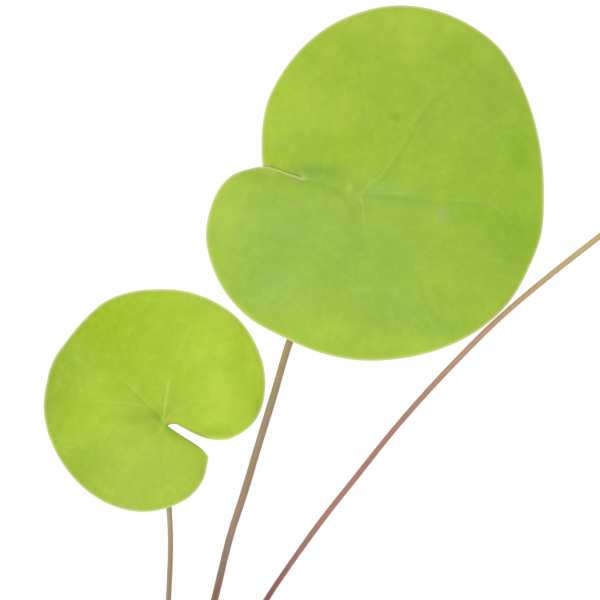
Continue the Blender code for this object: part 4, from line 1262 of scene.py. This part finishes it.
wire = new_finish("stolon_brown_skin", stolon)
across, up, run = stored(wire, "stem_place", 1).parts()
place = measured_from(wire)
fleck = wire.node("ShaderNodeTexVoronoi", {}, {"Vector": place, "Scale": FLECK_SCALE})
creased = wire.joined(across * CREASE_ROUND, up * CREASE_ROUND, run / CREASE_LENGTH)
fields = {name: cloud(place, *numbers) for name, numbers in SKIN_CLOUDS.items()}
fields["crease"] = cloud(creased, detail=CREASE_DETAIL)
fields["cork"] = ((FLECK_SIZE - fleck) * FLECK_SHARPNESS).kept()
skin = mixed((fields["blotch"] * BLOTCH_SPREAD + BLOTCH_LEVEL).kept(), srgb(112, 74, 54), srgb(142, 104, 72))
skin = mixed((fields["crease"] * CREASE_SPREAD + CREASE_LEVEL).kept() * CREASE_SHARE, skin, srgb(84, 52, 42))
skin = mixed(fields["cork"] * CORK_SHARE, skin, srgb(176, 150, 112))
skin = brightened(skin, fields["grain"] * SKIN_GRAIN + 1.0)
close_finish(stolon, pithy(wire, skin, (214, 202, 156), fields["grain"]),
             summed(fields, SKIN_SUMS["roughness"]) + SKIN_ROUGH_LEVEL,
             summed(fields, SKIN_SUMS["relief"]), SKIN_RELIEF, STEM_SPECULAR)

# %% [markdown]
# ## The surface
# The plant lies on a plain white surface, with bright surroundings that keep its shadows faint. The surface
# glows slightly, as a light table does.

# %% A plain white surface
FLOOR_RADIUS, FLOOR_SIDES = 4.0, 96
FLOOR_GREY, FLOOR_ROUGHNESS, FLOOR_GLOW = 0.24, 0.9, 0.85
WHITE = (1.0, 1.0, 1.0, 1.0)
ROOM_BRIGHTNESS = 0.82

floor_mesh = bpy.data.meshes.new("plain_surface")
angles = np.linspace(0.0, 2.0 * math.pi, FLOOR_SIDES, endpoint=False)
rim = [(FLOOR_RADIUS * math.cos(angle), FLOOR_RADIUS * math.sin(angle), 0.0) for angle in angles]
slices = [(0, 1 + k, 1 + (k + 1) % FLOOR_SIDES) for k in range(FLOOR_SIDES)]
floor_mesh.from_pydata([(0.0, 0.0, 0.0), *rim], [], slices)
floor = bpy.data.objects.new("plain_surface", floor_mesh)
bpy.context.scene.collection.objects.link(floor)
wire = new_finish("plain_white", floor)
shader = wire.node("ShaderNodeBsdfPrincipled", {}, {
    "Base Color": (FLOOR_GREY, FLOOR_GREY, FLOOR_GREY, 1.0), "Roughness": FLOOR_ROUGHNESS,
    "Specular IOR Level": 0.0, "Emission Color": WHITE, "Emission Strength": FLOOR_GLOW,
})
wire.node("ShaderNodeOutputMaterial", {}, {"Surface": shader})

world = bpy.data.worlds.new("bright_room")
bpy.context.scene.world = world
world.use_nodes = True
world.node_tree.nodes["Background"].inputs["Color"].default_value = WHITE
world.node_tree.nodes["Background"].inputs["Strength"].default_value = ROOM_BRIGHTNESS
print("surface radius:", FLOOR_RADIUS, "m")

# %% [markdown]
# ## The light
# One wide soft light stands to the lower left, aimed at the plant. Its place and size are in metres, and its
# power is in watts.

# %% A square light
LIGHT_PLACE, LIGHT_SIZE, LIGHT_POWER = (-1.0, -1.1, 0.95), 0.9, 10.0

lamp = bpy.data.lights.new("window_light", "AREA")
lamp.shape, lamp.size, lamp.energy = "SQUARE", LIGHT_SIZE, LIGHT_POWER
light = bpy.data.objects.new("window_light", lamp)
light.location = LIGHT_PLACE
light.rotation_mode = "QUATERNION"
light.rotation_quaternion = (-Vector(LIGHT_PLACE)).to_track_quat("-Z", "Y")
bpy.context.scene.collection.objects.link(light)
print("light distance:", round(light.location.length, 2), "m")

# %% [markdown]
# ## The camera
# The camera looks straight down from high up with a long lens, so that nothing is drawn out of true. It is
# far enough off for its view to be as wide as the picture at the level of the leaves.

# %% A camera straight above
VIEW_CENTRE = (-8.26 * MM, 29.4 * MM)
VIEW_WIDTH = 168.0 * MM
LENS, SENSOR = 200.0, 36.0
LEAF_LEVEL = 2.0 * MM

camera_data = bpy.data.cameras.new("overhead_camera")
camera_data.lens, camera_data.sensor_width = LENS, SENSOR
camera = bpy.data.objects.new("overhead_camera", camera_data)
camera.location = (*VIEW_CENTRE, LEAF_LEVEL + VIEW_WIDTH * LENS / SENSOR)
bpy.context.scene.collection.objects.link(camera)
bpy.context.scene.camera = camera
bpy.context.scene.view_settings.view_transform = "Standard"
print("camera height:", round(camera.location[2], 3), "m")
